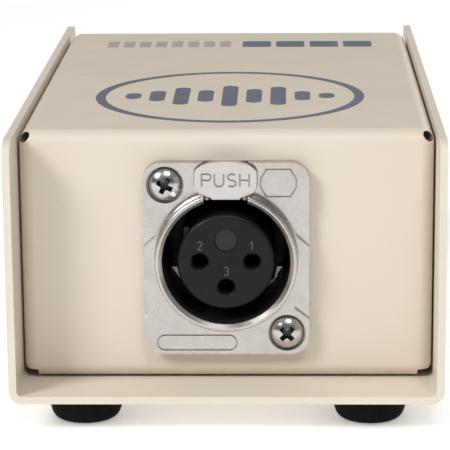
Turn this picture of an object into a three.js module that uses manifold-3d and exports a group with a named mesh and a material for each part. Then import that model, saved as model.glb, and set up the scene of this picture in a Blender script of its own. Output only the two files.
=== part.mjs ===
// A passive direct injection box: a folded steel chassis in a folded steel sleeve, with a latching
// three-pole socket at one end, and two jacks and two slide switches at the other.
// Millimetres. X runs across the box, Y from the socket end (-) to the jack end (+), and Z up from the table.
import * as THREE from "three";
import { RoundedBoxGeometry } from "three/addons/geometries/RoundedBoxGeometry.js";
import { mergeVertices } from "three/addons/utils/BufferGeometryUtils.js";
import Module from "manifold-3d";

const wasm = await Module();
wasm.setup();

// Driving dimensions.
const seatGap = 0.05; // between faces that rest on each other
const runningGap = 0.1; // between a round piece and its hole, on the radius

const chassis = {
  length: 96,
  width: 65.2,
  height: 40.25,
  sheet: 1.2,
  bend: 2.3, // outer radius of each fold
  flangeDepth: 18,
  notchWidth: 2.3,
  notchHeight: 1.3,
  reliefRadius: 0.75,
  slitWidth: 0.35,
};
const sleeve = {
  sheet: 1.2,
  bend: 2,
  overhang: 9.2,
  cornerRadius: 3.2,
  sideGap: 0.21,
  floorGap: 0.2,
  topStep: 0.1,
};
const foot = { radius: 5.9, height: 4.9, flatRadius: 3.4, frontInset: 9.7, sideInset: 11.3 };
const smallScrew = { headRadius: 2.65, headHeight: 1.7, shankRadius: 1.4, threadRadius: 1.5 };
const board = { thickness: 1.6, sideGap: 1.4, endMargin: 4, screwInset: 4, barrelGap: 0.5 };
const standoffFlats = 5.5;
const socket = {
  boreRadius: 10.05,
  ringWall: 1.15,
  ringFront: 4.5,
  barrelWall: 1.65,
  barrelLength: 19,
  boreDepth: 15,
  flangeSide: 1.3,
  flangeTall: 5, // how much taller the flange is than wide
  flangeThickness: 2,
  flangeCorner: 2.8,
  screwInset: 3.5,
  recessDepth: 0.7,
  recessGap: 0.3,
  insertRadius: 7.65,
  insertFace: 3.8,
  insertCollar: 2.4,
  contactCircle: 4.1,
  contactRadius: 1.25,
  contactBore: 0.85,
  contactSetBack: 1.4,
};
const latch = {
  width: 9.7,
  top: 5.95, // above the bore's edge
  thickness: 1.2,
  standOff: 0.2, // tab's back ahead of the flange's front
  neckWidth: 4.65,
  noseReach: 0.7, // into the bore
  lugHeight: 1.8,
  pinRadius: 0.5,
  pinDepth: 0.7, // behind the panel's outer face
  pocketFloor: 0.7, // flange left behind the tab
  sideGap: 0.25,
};
const jack = {
  bodyWidth: 15.6,
  bodyHeight: 14,
  bodyLength: 23,
  chamfer: 1,
  bushingRadius: 4.7,
  bushingReach: 5.5,
  boreRadius: 3.25,
  backWall: 2,
  sideGap: 1,
  nutFlats: 12.7,
  nutThickness: 2.3,
  washerRadius: 6.6,
  washerThickness: 0.8,
};
const slideSwitch = {
  plateWidth: 24,
  plateHeight: 7.5,
  plateThickness: 0.8,
  betweenShare: 0.24, // of the flat panel's spare width, between the two plates
  housingWidth: 15,
  housingDepth: 7,
  travel: 3.6,
  knobWidth: 3.4,
  knobHeight: 3,
  knobReach: 1.4,
  carrierWidth: 5.4,
  carrierHeight: 4.2,
  carrierDepth: 3.6,
  gap: 0.4,
  screwPitch: 19.2,
  screw: { headRadius: 2.2, headHeight: 1.3, shankRadius: 1.15, threadRadius: 1.25 },
};
const transformer = {
  width: 28,
  height: 24,
  stack: 10,
  centreLeg: 7,
  yoke: 3.5,
  bobbinWall: 0.8,
  bobbinReach: 6.2,
  gap: 0.2,
  lift: 0.8,
  strap: 0.6,
  strapWidth: 9,
  strapFoot: 5,
};
const wireRadius = 0.7;

// Places that follow from them.
const sleeveWidth = chassis.width + 2 * (sleeve.sideGap + sleeve.sheet);
const sleeveLength = chassis.length + 2 * sleeve.overhang;
const sleeveHeight = sleeve.sheet + sleeve.floorGap + chassis.height + sleeve.topStep;
const sleeveFloor = foot.height + seatGap;
const chassisFloor = sleeveFloor + sleeve.sheet + sleeve.floorGap;
const chassisTop = chassisFloor + chassis.height;
const rearFace = chassis.length / 2;
const frontFace = -rearFace;
const flangeTop = chassisFloor + chassis.sheet;
const socketHeight = chassisFloor + chassis.height / 2;
const barrelRadius = socket.boreRadius + socket.barrelWall;
const ringRadius = socket.boreRadius + socket.ringWall;
const flangeWidth = 2 * (barrelRadius + socket.flangeSide);
const flangeHeight = flangeWidth + socket.flangeTall;
const socketScrew = [flangeWidth / 2 - socket.screwInset, flangeHeight / 2 - socket.screwInset];
const boardTop = socketHeight - barrelRadius - board.barrelGap;
const boardBottom = boardTop - board.thickness;
const boardHalfWidth = chassis.width / 2 - chassis.sheet - board.sideGap;
const standoffX = boardHalfWidth - board.screwInset;
const standoffY = rearFace - chassis.flangeDepth + board.screwInset;
const boardHalfLength = standoffY + board.endMargin;
const standoffHeight = boardBottom - flangeTop - 2 * seatGap;
const threadReach = standoffHeight / 2 - 0.4;
const jackX = standoffX - smallScrew.headRadius - jack.sideGap - jack.bodyWidth / 2;
const jackHeight = boardTop + seatGap + jack.bodyHeight / 2;
const panelSpare = chassis.width - 2 * (chassis.bend + slideSwitch.plateWidth);
const switchX = (slideSwitch.plateWidth + slideSwitch.betweenShare * panelSpare) / 2;
const switchHeight = (jackHeight + jack.bodyHeight / 2 + chassisTop - chassis.sheet) / 2;
const contactBack = frontFace + socket.barrelLength + 4;
const jackBack = rearFace - chassis.sheet - seatGap - jack.bodyLength;
const transformerY = (contactBack + jackBack) / 2;

// Solids: three.js geometry, joined and cut.
function toSolid(geometry) {
  const bare = geometry.clone();
  bare.deleteAttribute("normal");
  bare.deleteAttribute("uv");
  const merged = mergeVertices(bare, 1e-4);
  const mesh = new wasm.Mesh({
    numProp: 3,
    vertProperties: merged.attributes.position.array,
    triVerts: new Uint32Array(merged.index.array),
  });
  return new wasm.Manifold(mesh);
}

function toGeometry(solid) {
  const mesh = solid.getMesh();
  const geometry = new THREE.BufferGeometry();
  geometry.setAttribute("position", new THREE.BufferAttribute(mesh.vertProperties, 3));
  geometry.setIndex(new THREE.BufferAttribute(mesh.triVerts, 1));
  geometry.computeVertexNormals();
  return geometry;
}

const cut = (body, ...tools) => tools.reduce((rest, tool) => rest.subtract(tool), body);
const join = (body, ...others) => others.reduce((whole, other) => whole.add(other), body);

// A box between two corners.
function block(low, high) {
  const size = high.map((value, i) => value - low[i]);
  const middle = high.map((value, i) => (value + low[i]) / 2);
  return toSolid(new THREE.BoxGeometry(...size).translate(...middle));
}

// A cylinder along Y from y0 to y1.
function rod(radius, y0, y1, x = 0, z = 0, sides = 16) {
  const geometry = new THREE.CylinderGeometry(radius, radius, y1 - y0, sides);
  return toSolid(geometry.translate(x, (y0 + y1) / 2, z));
}

// A cylinder along Z from z0 to z1.
function post(radius, z0, z1, x = 0, y = 0, sides = 12) {
  const geometry = new THREE.CylinderGeometry(radius, radius, z1 - z0, sides);
  return toSolid(geometry.rotateX(Math.PI / 2).translate(x, y, (z0 + z1) / 2));
}

// A cylinder along X, centred on X = 0.
function bar(radius, length, y = 0, z = 0, sides = 12) {
  const geometry = new THREE.CylinderGeometry(radius, radius, length, sides);
  return toSolid(geometry.rotateZ(Math.PI / 2).translate(0, y, z));
}

// A profile of [radius, height] points turned round Y. Its outer wall runs towards +Y.
function turned(profile, sides = 32) {
  const points = profile.map(([radius, y]) => new THREE.Vector2(radius, y));
  return toSolid(new THREE.LatheGeometry(points, sides));
}

// An outline drawn in X and Z, made solid from y0 to y1.
function plateAlongY(outline, y0, y1, curveSegments = 3) {
  const options = { depth: y1 - y0, bevelEnabled: false, curveSegments };
  const geometry = new THREE.ExtrudeGeometry(outline, options);
  return toSolid(geometry.rotateX(Math.PI / 2).translate(0, y1, 0));
}

// An outline drawn in X and Y, made solid from z0 to z1.
function plateAlongZ(outline, z0, z1, curveSegments = 3) {
  const options = { depth: z1 - z0, bevelEnabled: false, curveSegments };
  return toSolid(new THREE.ExtrudeGeometry(outline, options).translate(0, 0, z0));
}

// An outline drawn in Y and Z, made solid from x0 to x1.
function plateAlongX(outline, x0, x1, curveSegments = 4) {
  const options = { depth: x1 - x0, bevelEnabled: false, curveSegments };
  const geometry = new THREE.ExtrudeGeometry(outline, options);
  const turn = new THREE.Matrix4().makeBasis(
    new THREE.Vector3(0, 1, 0),
    new THREE.Vector3(0, 0, 1),
    new THREE.Vector3(1, 0, 0),
  );
  return toSolid(geometry.applyMatrix4(turn).translate(x0, 0, 0));
}

function polygon(points) {
  return new THREE.Shape(points.map(([a, b]) => new THREE.Vector2(a, b)));
}

// A rectangle centred on the origin, with one radius at its lower corners and one at its upper ones.
function roundedRectangle(width, height, lower, upper = lower) {
  const [w, h] = [width / 2, height / 2];
  const outline = new THREE.Shape();
  outline.absarc(w - lower, -h + lower, lower, -Math.PI / 2, 0);
  outline.absarc(w - upper, h - upper, upper, 0, Math.PI / 2);
  outline.absarc(-w + upper, h - upper, upper, Math.PI / 2, Math.PI);
  outline.absarc(-w + lower, -h + lower, lower, Math.PI, 1.5 * Math.PI);
  return outline;
}

function hexagon(acrossFlats) {
  const radius = acrossFlats / Math.sqrt(3);
  const corner = (i) => [radius * Math.cos((i * Math.PI) / 3), radius * Math.sin((i * Math.PI) / 3)];
  return polygon([0, 1, 2, 3, 4, 5].map(corner));
}

// A hexagon nut or spacer along Y, with a plain hole.
function hexagonAlongY(acrossFlats, holeRadius, y0, y1) {
  return cut(plateAlongY(hexagon(acrossFlats), y0, y1), rod(holeRadius, y0 - 1, y1 + 1));
}

// A pan head screw along Y. The head's underside is at y = 0, its dome faces -Y, and it has a cross recess.
function panScrew(size, length) {
  const { headRadius: r, headHeight: h, shankRadius } = size;
  const head = turned(
    [
      [0, -h],
      [0.7 * r, -0.88 * h],
      [r, -0.4 * h],
      [r, 0],
      [shankRadius, 0],
      [shankRadius, length],
      [0, length],
    ],
    16,
  );
  const [arm, slot, depth] = [0.62 * r, 0.13 * r, 0.6 * h];
  const across = block([-arm, -h - 1, -slot], [arm, depth - h, slot]);
  const along = block([-slot, -h - 1, -arm], [slot, depth - h, arm]);
  return cut(head, across, along);
}

// A round wire through points, with a flat face at each end.
function wire(points, radius = wireRadius, steps = 12) {
  const path = new THREE.CatmullRomCurve3(points.map((p) => new THREE.Vector3(...p)));
  const section = new THREE.Shape();
  section.absarc(0, 0, radius, 0, 2 * Math.PI);
  const options = { steps, extrudePath: path, curveSegments: 3, bevelEnabled: false };
  return toSolid(new THREE.ExtrudeGeometry(section, options));
}

// Finishes.
const finish = (color, roughness, metalness) => () =>
  new THREE.MeshStandardMaterial({ color, roughness, metalness, flatShading: true });
const creamPaint = finish(0xddd2c0, 0.55, 0);
const nickel = finish(0xc9c5bf, 0.3, 1);
const zincSteel = finish(0xb4b6b8, 0.4, 1);
const brass = finish(0xc2a15a, 0.35, 1);
const blackPlastic = finish(0x2b2a2c, 0.6, 0);
const blackRubber = finish(0x151415, 0.8, 0);
const greenBoard = finish(0x1f5a3a, 0.5, 0);
const copper = finish(0xa85f2e, 0.4, 1);
const coreSteel = finish(0x6d6c6a, 0.5, 1);
const tanBody = finish(0xc9a877, 0.6, 0);
const redBody = finish(0x8e2f2a, 0.5, 0);

const box = new THREE.Group();

function addPiece(parent, name, solid, material) {
  const mesh = new THREE.Mesh(toGeometry(solid), material());
  mesh.name = name;
  parent.add(mesh);
  return mesh;
}

function addGroup(x, y, z) {
  const group = new THREE.Group();
  group.position.set(x, y, z);
  box.add(group);
  return group;
}

const sides = [
  { name: "left", sign: -1 },
  { name: "right", sign: 1 },
];
const ends = [
  { name: "front", sign: -1 },
  { name: "rear", sign: 1 },
];
// One call for each of the four corners of the box.
function atCorners(make) {
  ends.forEach((end) => sides.forEach((side) => make(`${end.name}_${side.name}`, side.sign, end.sign)));
}

// The sleeve: a floor and two sides, open at the top and at both ends.
function sleeveSolid() {
  const half = sleeveWidth / 2;
  const { bend, sheet, cornerRadius } = sleeve;
  const section = new THREE.Shape();
  section.moveTo(-half, sleeveHeight);
  section.absarc(-half + bend, bend, bend, Math.PI, 1.5 * Math.PI);
  section.absarc(half - bend, bend, bend, -0.5 * Math.PI, 0);
  section.lineTo(half, sleeveHeight);
  section.lineTo(half - sheet, sleeveHeight);
  section.absarc(half - bend, bend, bend - sheet, 0, -0.5 * Math.PI, true);
  section.absarc(-half + bend, bend, bend - sheet, -0.5 * Math.PI, -Math.PI, true);
  section.lineTo(-half + sheet, sleeveHeight);
  const folded = plateAlongY(section, -sleeveLength / 2, sleeveLength / 2);
  const sideView = roundedRectangle(sleeveLength, sleeveHeight, 0.01, cornerRadius);
  const silhouette = plateAlongX(sideView, -half - 1, half + 1, 6);
  const screwHoles = [];
  atCorners((name, sx, sy) =>
    screwHoles.push(post(smallScrew.threadRadius + 2 * runningGap, -1, sheet + 1, sx * standoffX, sy * standoffY)),
  );
  return cut(folded.intersect(toSolid(toGeometry(silhouette).translate(0, 0, sleeveHeight / 2))), ...screwHoles);
}

// The relief at one upper corner of the chassis: a round hole and a mitred slit down the side.
function cornerRelief(sx, sy) {
  const { length, width, height, bend, reliefRadius, slitWidth, flangeDepth } = chassis;
  const ballCentre = new THREE.Vector3(
    sx * (width / 2 - bend),
    sy * (length / 2 - bend),
    height - bend,
  );
  const outward = new THREE.Vector3(sx, sy, 1).normalize();
  const lean = new THREE.Quaternion().setFromUnitVectors(new THREE.Vector3(0, 1, 0), outward);
  const hole = new THREE.CylinderGeometry(reliefRadius, reliefRadius, 3 * bend, 12);
  hole.translate(0, 1.5 * bend, 0).applyQuaternion(lean).translate(...ballCentre.toArray());
  const slitLength = Math.SQRT2 * (flangeDepth + 2);
  const slit = new THREE.BoxGeometry(bend + 1, slitLength, slitWidth);
  slit.translate(sx * (width / 2 - bend / 2 + 0.5), -slitLength / 2, 0);
  slit.rotateX(sy * 0.25 * Math.PI);
  slit.translate(0, sy * (length / 2), height);
  return [toSolid(hole), toSolid(slit)];
}

// The chassis: top, end panels and their return flanges, folded from one sheet.
function chassisSolid() {
  const { length, width, height, sheet, bend, flangeDepth, notchWidth, notchHeight } = chassis;
  const outside = new RoundedBoxGeometry(width, length, height, 3, bend);
  const [innerWidth, innerLength, innerHeight] = [width, length, height].map((size) => size - 2 * sheet);
  const inside = new RoundedBoxGeometry(innerWidth, innerLength, innerHeight, 2, bend - sheet);
  const shell = cut(
    toSolid(outside.translate(0, 0, height / 2)),
    toSolid(inside.translate(0, 0, height / 2)),
  );
  const far = width / 2 + 1;
  const openUnderside = block(
    [-far, -length / 2 + flangeDepth, -1],
    [far, length / 2 - flangeDepth, height - flangeDepth],
  );
  const notches = sides.map(({ sign }) => {
    const [near, out] = [width / 2 - notchWidth, far].map((value) => sign * value);
    const edge = length / 2 + 1;
    return block([Math.min(near, out), -edge, -1], [Math.max(near, out), edge, notchHeight]);
  });
  const reliefs = [];
  atCorners((name, sx, sy) => reliefs.push(...cornerRelief(sx, sy)));
  return cut(shell, openUnderside, ...notches, ...reliefs, ...chassisHoles());
}

// The holes in the chassis's panels and bottom flanges. Z is from the chassis's underside.
function chassisHoles() {
  const { sheet } = chassis;
  const socketZ = socketHeight - chassisFloor;
  const jackZ = jackHeight - chassisFloor;
  const switchZ = switchHeight - chassisFloor;
  const [front, rear] = [frontFace - 1, rearFace - sheet - 1];
  const through = sheet + 2;
  const holes = [rod(barrelRadius + 0.3, front, front + through + 1, 0, socketZ, 48)];
  const screwHole = smallScrew.threadRadius + runningGap;
  [-1, 1].forEach((sign) => {
    holes.push(rod(screwHole, front, front + through, sign * socketScrew[0], socketZ - sign * socketScrew[1]));
    holes.push(rod(jack.bushingRadius + 2 * runningGap, rear, rear + through, sign * jackX, jackZ, 24));
    const windowX = slideSwitch.knobWidth / 2 + slideSwitch.travel / 2 + slideSwitch.gap;
    const windowZ = slideSwitch.knobHeight / 2 + slideSwitch.gap;
    const x = sign * switchX;
    holes.push(block([x - windowX, rear, switchZ - windowZ], [x + windowX, rear + through, switchZ + windowZ]));
    const panelHole = slideSwitch.screw.threadRadius + runningGap;
    [-1, 1].forEach((end) => {
      holes.push(rod(panelHole, rear, rear + through, x + (end * slideSwitch.screwPitch) / 2, switchZ, 12));
    });
  });
  atCorners((name, sx, sy) => {
    holes.push(post(smallScrew.threadRadius + 2 * runningGap, -1, sheet + 1, sx * standoffX, sy * standoffY));
  });
  return holes;
}

// A domed rubber foot, its top at z = height.
function footSolid() {
  const { radius, height, flatRadius } = foot;
  const profile = [
    [0, 0],
    [flatRadius, 0],
  ];
  const steps = 4;
  for (let i = 1; i <= steps; i++) {
    const angle = (i * Math.PI) / 2 / steps;
    const rise = 0.86 * height;
    profile.push([flatRadius + (radius - flatRadius) * Math.sin(angle), rise * (1 - Math.cos(angle))]);
  }
  profile.push([radius, height], [0, height]);
  return turned(profile, 20);
}

function addCase() {
  addPiece(box, "outer_sleeve", sleeveSolid(), creamPaint).position.z = sleeveFloor;
  addPiece(box, "inner_chassis", chassisSolid(), creamPaint).position.z = chassisFloor;
  const footX = sleeveWidth / 2 - foot.sideInset;
  const footY = sleeveLength / 2 - foot.frontInset;
  atCorners((name, sx, sy) => {
    const rubber = addPiece(box, `foot_${name}`, footSolid(), blackRubber);
    rubber.rotation.x = Math.PI / 2;
    rubber.position.set(sx * footX, sy * footY, 0);
  });
}

// The circuit board on four spacers, held by screws from above and from under the case.
function addBoard() {
  const outline = roundedRectangle(2 * boardHalfWidth, 2 * boardHalfLength, 1.5);
  const holes = [];
  const caseScrewLength = sleeve.sheet + sleeve.floorGap + chassis.sheet + 2 * seatGap + threadReach;
  atCorners((name, sx, sy) => {
    const [x, y] = [sx * standoffX, sy * standoffY];
    holes.push(post(smallScrew.threadRadius + runningGap, boardBottom - 1, boardTop + 1, x, y));
    const caseScrew = addPiece(box, `case_screw_${name}`, panScrew(smallScrew, caseScrewLength), zincSteel);
    caseScrew.rotation.x = Math.PI / 2;
    caseScrew.position.set(x, y, sleeveFloor - seatGap);
    const spacer = hexagonAlongY(standoffFlats, smallScrew.threadRadius, 0, standoffHeight);
    const standoff = addPiece(box, `standoff_${name}`, spacer, brass);
    standoff.rotation.x = Math.PI / 2;
    standoff.position.set(x, y, flangeTop + seatGap);
    const boardScrew = panScrew(smallScrew, board.thickness + 2 * seatGap + threadReach);
    const fixing = addPiece(box, `board_screw_${name}`, boardScrew, zincSteel);
    fixing.rotation.x = -Math.PI / 2;
    fixing.position.set(x, y, boardTop + seatGap);
  });
  addPiece(box, "circuit_board", cut(plateAlongZ(outline, boardBottom, boardTop), ...holes), greenBoard);
}

// The socket's shell: a flange, a raised ring with a gap for the latch, and a barrel behind the panel.
function socketShellSolid() {
  const { boreRadius, ringFront, flangeThickness, boreDepth, barrelLength } = socket;
  const flangeFront = -flangeThickness - seatGap;
  const backHole = socket.insertRadius + 0.4;
  const barrel = turned(
    [
      [boreRadius + 0.3, -ringFront],
      [ringRadius, -ringFront],
      [ringRadius, flangeFront + 0.6],
      [barrelRadius, flangeFront + 0.6],
      [barrelRadius, barrelLength],
      [backHole, barrelLength],
      [backHole, boreDepth],
      [boreRadius, boreDepth],
      [boreRadius, -ringFront + 0.3],
      [boreRadius + 0.3, -ringFront],
    ],
    48,
  );
  const outline = roundedRectangle(flangeWidth, flangeHeight, socket.flangeCorner);
  const clearBore = rod(boreRadius + 0.4, flangeFront - 1, 1, 0, 0, 48);
  const flange = cut(plateAlongY(outline, flangeFront, -seatGap), clearBore);
  return cut(join(flange, barrel), ...socketShellCuts(flangeFront));
}

function socketShellCuts(flangeFront) {
  const cuts = [];
  [-1, 1].forEach((sign) => {
    const [x, z] = [sign * socketScrew[0], -sign * socketScrew[1]];
    cuts.push(rod(smallScrew.threadRadius + runningGap, flangeFront - 1, 1, x, z));
    cuts.push(rod(smallScrew.headRadius + socket.recessGap, flangeFront - 1, flangeFront + socket.recessDepth, x, z));
  });
  const slotHalf = latch.neckWidth / 2 + latch.sideGap;
  const slotBottom = socket.boreRadius - 1.4;
  const slotTop = latchPin().z + latch.lugHeight / 2 + 0.75;
  const slotBack = latchPin().y + 1.6;
  cuts.push(block([-slotHalf, -socket.ringFront - 1, slotBottom], [slotHalf, slotBack, slotTop]));
  const pocketHalf = latch.width / 2 + latch.sideGap;
  const pocketBottom = socket.boreRadius - 0.1;
  cuts.push(block([-pocketHalf, flangeFront - 3, pocketBottom], [pocketHalf, -seatGap - latch.pocketFloor, flangeHeight]));
  cuts.push(bar(latch.pinRadius + seatGap, 2 * latchPin().half + 0.4, latchPin().y, latchPin().z));
  return cuts;
}

// The latch pin's centre and half its length, from the socket's centre.
function latchPin() {
  return { y: latch.pinDepth, z: socket.boreRadius + 0.6, half: latch.neckWidth / 2 + 1.45 };
}

// The latch: an arched tab in front of the flange, a nose that reaches into the bore, and a lug on the pin.
function latchSolid() {
  const back = -socket.flangeThickness - latch.standOff;
  const front = back - latch.thickness;
  const bottom = socket.boreRadius + 0.3;
  const top = socket.boreRadius + latch.top;
  const half = latch.width / 2;
  const outline = new THREE.Shape();
  outline.absarc(half - 1, bottom + 1, 1, -Math.PI / 2, 0);
  outline.lineTo(half, top - 1.6);
  outline.quadraticCurveTo(half - 0.4, top, 0, top);
  outline.quadraticCurveTo(-half + 0.4, top, -half, top - 1.6);
  outline.absarc(-half + 1, bottom + 1, 1, Math.PI, 1.5 * Math.PI);
  const tab = plateAlongY(outline, front, back, 6);
  const pin = latchPin();
  const neck = latch.neckWidth / 2;
  const nose = block([-neck, front, socket.boreRadius - latch.noseReach], [neck, back, bottom + 0.5]);
  const lug = block(
    [-neck + 0.1, back - 0.1, pin.z - latch.lugHeight / 2],
    [neck - 0.1, pin.y + 0.9, pin.z + latch.lugHeight / 2],
  );
  return cut(join(tab, nose, lug), bar(latch.pinRadius + runningGap, latch.width + 2, pin.y, pin.z));
}

// The leaf spring behind the tab, fixed at its lower end.
function latchSpringSolid() {
  const floor = -seatGap - latch.pocketFloor - seatGap;
  const tabBack = -socket.flangeThickness - latch.standOff;
  const low = latchPin().z + latch.lugHeight / 2 + 0.95;
  const leaf = 0.25;
  const outline = polygon([
    [floor, low],
    [floor, low + 0.5],
    [tabBack + seatGap + leaf, low + 2.2],
    [tabBack + seatGap + leaf + 0.2, low + 2.8],
    [tabBack + seatGap + 0.2, low + 2.9],
    [tabBack + seatGap, low + 2.2],
    [floor - leaf, low + 0.4],
    [floor - leaf, low],
  ]);
  return plateAlongX(outline, -1.5, 1.5);
}

// The plastic insert that holds the three contacts.
function insertSolid() {
  const { insertRadius: r, insertFace, boreDepth, insertCollar, barrelLength, boreRadius } = socket;
  const seat = boreDepth - seatGap;
  const body = turned(
    [
      [0, -insertFace],
      [r - 0.5, -insertFace],
      [r, -insertFace + 0.5],
      [r, seat - insertCollar],
      [boreRadius - 0.2, seat - insertCollar],
      [boreRadius - 0.2, seat],
      [r, seat],
      [r, barrelLength + 0.6],
      [0, barrelLength + 0.6],
    ],
    32,
  );
  const holes = contactPlaces().map(([x, z]) =>
    rod(socket.contactRadius + runningGap, -insertFace - 1, barrelLength + 2, x, z),
  );
  return cut(body, ...holes, rod(1.9, -insertFace - 1, -insertFace + 0.3, 0, 3.5));
}

// Contacts 1, 2 and 3: right, left and bottom, seen from the front.
function contactPlaces() {
  const r = socket.contactCircle;
  return [
    [r, 0],
    [-r, 0],
    [0, -r],
  ];
}

// A contact: a sleeve for the pin in front and a solder cup behind.
function contactSolid() {
  const { contactRadius: r, contactBore, insertFace, contactSetBack, barrelLength } = socket;
  const front = -insertFace + contactSetBack;
  const back = barrelLength + 0.6;
  return turned(
    [
      [0, 8],
      [contactBore, 8],
      [contactBore, front],
      [r, front],
      [r, back],
      [r - 0.25, back],
      [r - 0.25, barrelLength + 4],
      [r - 0.55, barrelLength + 4],
      [r - 0.55, barrelLength + 2],
      [0, barrelLength + 2],
    ],
    12,
  );
}

// The ground contact: a band round the lower part of the bore, with a finger at each side.
function groundSpringSolid() {
  const [outer, thickness] = [socket.boreRadius - 0.15, 0.35];
  const reach = Math.PI / 9;
  const band = new THREE.Shape();
  band.absarc(0, 0, outer, Math.PI + reach, 2 * Math.PI - reach);
  band.absarc(0, 0, outer - thickness, 2 * Math.PI - reach, Math.PI + reach, true);
  const back = socket.boreDepth - socket.insertCollar - 0.4;
  const ring = plateAlongY(band, back - 3, back, 8);
  const fingers = sides.map(({ sign }) => {
    const angle = -reach - 0.06;
    const finger = new THREE.BoxGeometry(thickness, 9, 1.6);
    finger.translate(outer - thickness / 2 - 0.25, back - 5.5, 0).rotateY(-angle);
    return toSolid(sign > 0 ? finger : finger.rotateY(2 * angle + Math.PI));
  });
  return join(ring, ...fingers);
}

function addSocket() {
  const group = addGroup(0, frontFace, socketHeight);
  addPiece(group, "socket_shell", socketShellSolid(), nickel);
  addPiece(group, "socket_insert", insertSolid(), blackPlastic);
  addPiece(group, "socket_latch", latchSolid(), nickel);
  addPiece(group, "latch_pin", bar(latch.pinRadius, 2 * latchPin().half, latchPin().y, latchPin().z), zincSteel);
  addPiece(group, "latch_spring", latchSpringSolid(), zincSteel);
  addPiece(group, "ground_spring", groundSpringSolid(), nickel);
  contactPlaces().forEach(([x, z], i) => {
    addPiece(group, `socket_contact_${i + 1}`, contactSolid(), brass).position.set(x, 0, z);
  });
  const seat = -socket.flangeThickness - seatGap + socket.recessDepth;
  const nutThickness = 2.4;
  const places = [
    { name: "upper", sign: 1, turn: -27 },
    { name: "lower", sign: -1, turn: 45 },
  ];
  places.forEach(({ name, sign, turn }) => {
    const [x, z] = [-sign * socketScrew[0], sign * socketScrew[1]];
    const length = -seat + chassis.sheet + nutThickness + 0.8;
    const screw = addPiece(group, `socket_screw_${name}`, panScrew(smallScrew, length), nickel);
    screw.rotation.y = THREE.MathUtils.degToRad(turn);
    screw.position.set(x, seat - seatGap, z);
    const nut = hexagonAlongY(standoffFlats, smallScrew.threadRadius, 0, nutThickness);
    addPiece(group, `socket_nut_${name}`, nut, zincSteel).position.set(x, chassis.sheet + seatGap, z);
  });
}

// A jack's body: a block behind the panel and a bushing through it. y = 0 is the panel's outer face.
function jackBodySolid() {
  const { bodyWidth: w, bodyHeight: h, chamfer: c, bodyLength, backWall } = jack;
  const front = -chassis.sheet - seatGap;
  const back = front - bodyLength;
  const outline = polygon([
    [-w / 2 + c, -h / 2],
    [w / 2 - c, -h / 2],
    [w / 2, -h / 2 + c],
    [w / 2, h / 2 - c],
    [w / 2 - c, h / 2],
    [-w / 2 + c, h / 2],
    [-w / 2, h / 2 - c],
    [-w / 2, -h / 2 + c],
  ]);
  const bushing = rod(jack.bushingRadius, front - 1, jack.bushingReach, 0, 0, 24);
  const bore = rod(jack.boreRadius, back + backWall, jack.bushingReach + 1, 0, 0, 24);
  const springRoom = block([-2.2, back + 1, 1], [2.2, back + 11, h]);
  return cut(join(plateAlongY(outline, back, front), bushing), bore, springRoom);
}

// A jack's tip spring: a bent leaf that turns about its rear end. Its nose stands in the bore.
function tipSpringSolid() {
  const rear = tipPivot().y;
  const z = tipPivot().z;
  const outline = polygon([
    [rear - 0.3, z - 0.3],
    [rear + 4, z - 0.3],
    [rear + 5.6, jack.boreRadius - 0.5],
    [rear + 7.2, z - 0.1],
    [rear + 7, z + 0.4],
    [rear + 5.6, jack.boreRadius + 0.2],
    [rear + 4.3, z + 0.3],
    [rear - 0.3, z + 0.3],
  ]);
  return plateAlongX(outline, -1.4, 1.4);
}

function tipPivot() {
  return { y: -chassis.sheet - seatGap - jack.bodyLength + 1.8, z: jack.boreRadius + 1.25 };
}

function addJack(name, sign) {
  const group = addGroup(sign * jackX, rearFace, jackHeight);
  addPiece(group, `${name}_jack_body`, jackBodySolid(), blackPlastic);
  addPiece(group, `${name}_tip_spring`, tipSpringSolid(), nickel);
  const hole = jack.bushingRadius + runningGap;
  const washer = cut(
    rod(jack.washerRadius, seatGap, seatGap + jack.washerThickness, 0, 0, 24),
    rod(hole, -1, 3, 0, 0, 24),
  );
  addPiece(group, `${name}_jack_washer`, washer, nickel);
  const nutStart = 2 * seatGap + jack.washerThickness;
  const nut = cut(
    plateAlongY(hexagon(jack.nutFlats), nutStart, nutStart + jack.nutThickness),
    rod(hole, 0, nutStart + jack.nutThickness + 1, 0, 0, 24),
  );
  addPiece(group, `${name}_jack_nut`, nut, nickel);
}

// A slide switch's frame: a plate against the panel and a housing with room for the slider.
function switchFrameSolid() {
  const s = slideSwitch;
  const front = -chassis.sheet - seatGap;
  const plateBack = front - s.plateThickness;
  const plate = plateAlongY(roundedRectangle(s.plateWidth, s.plateHeight, 1), plateBack, front);
  const housing = block(
    [-s.housingWidth / 2, plateBack - s.housingDepth, -s.plateHeight / 2 + 0.1],
    [s.housingWidth / 2, plateBack + 0.2, s.plateHeight / 2 - 0.1],
  );
  const [roomX, roomZ] = [(s.carrierWidth + s.travel) / 2 + 0.3, s.carrierHeight / 2 + 0.2];
  const room = block([-roomX, plateBack - s.carrierDepth - 0.6, -roomZ], [roomX, 1, roomZ]);
  const holes = [-1, 1].map((end) =>
    rod(s.screw.threadRadius, plateBack - 1, 1, (end * s.screwPitch) / 2, 0, 12),
  );
  return cut(join(plate, housing), room, ...holes);
}

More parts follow.
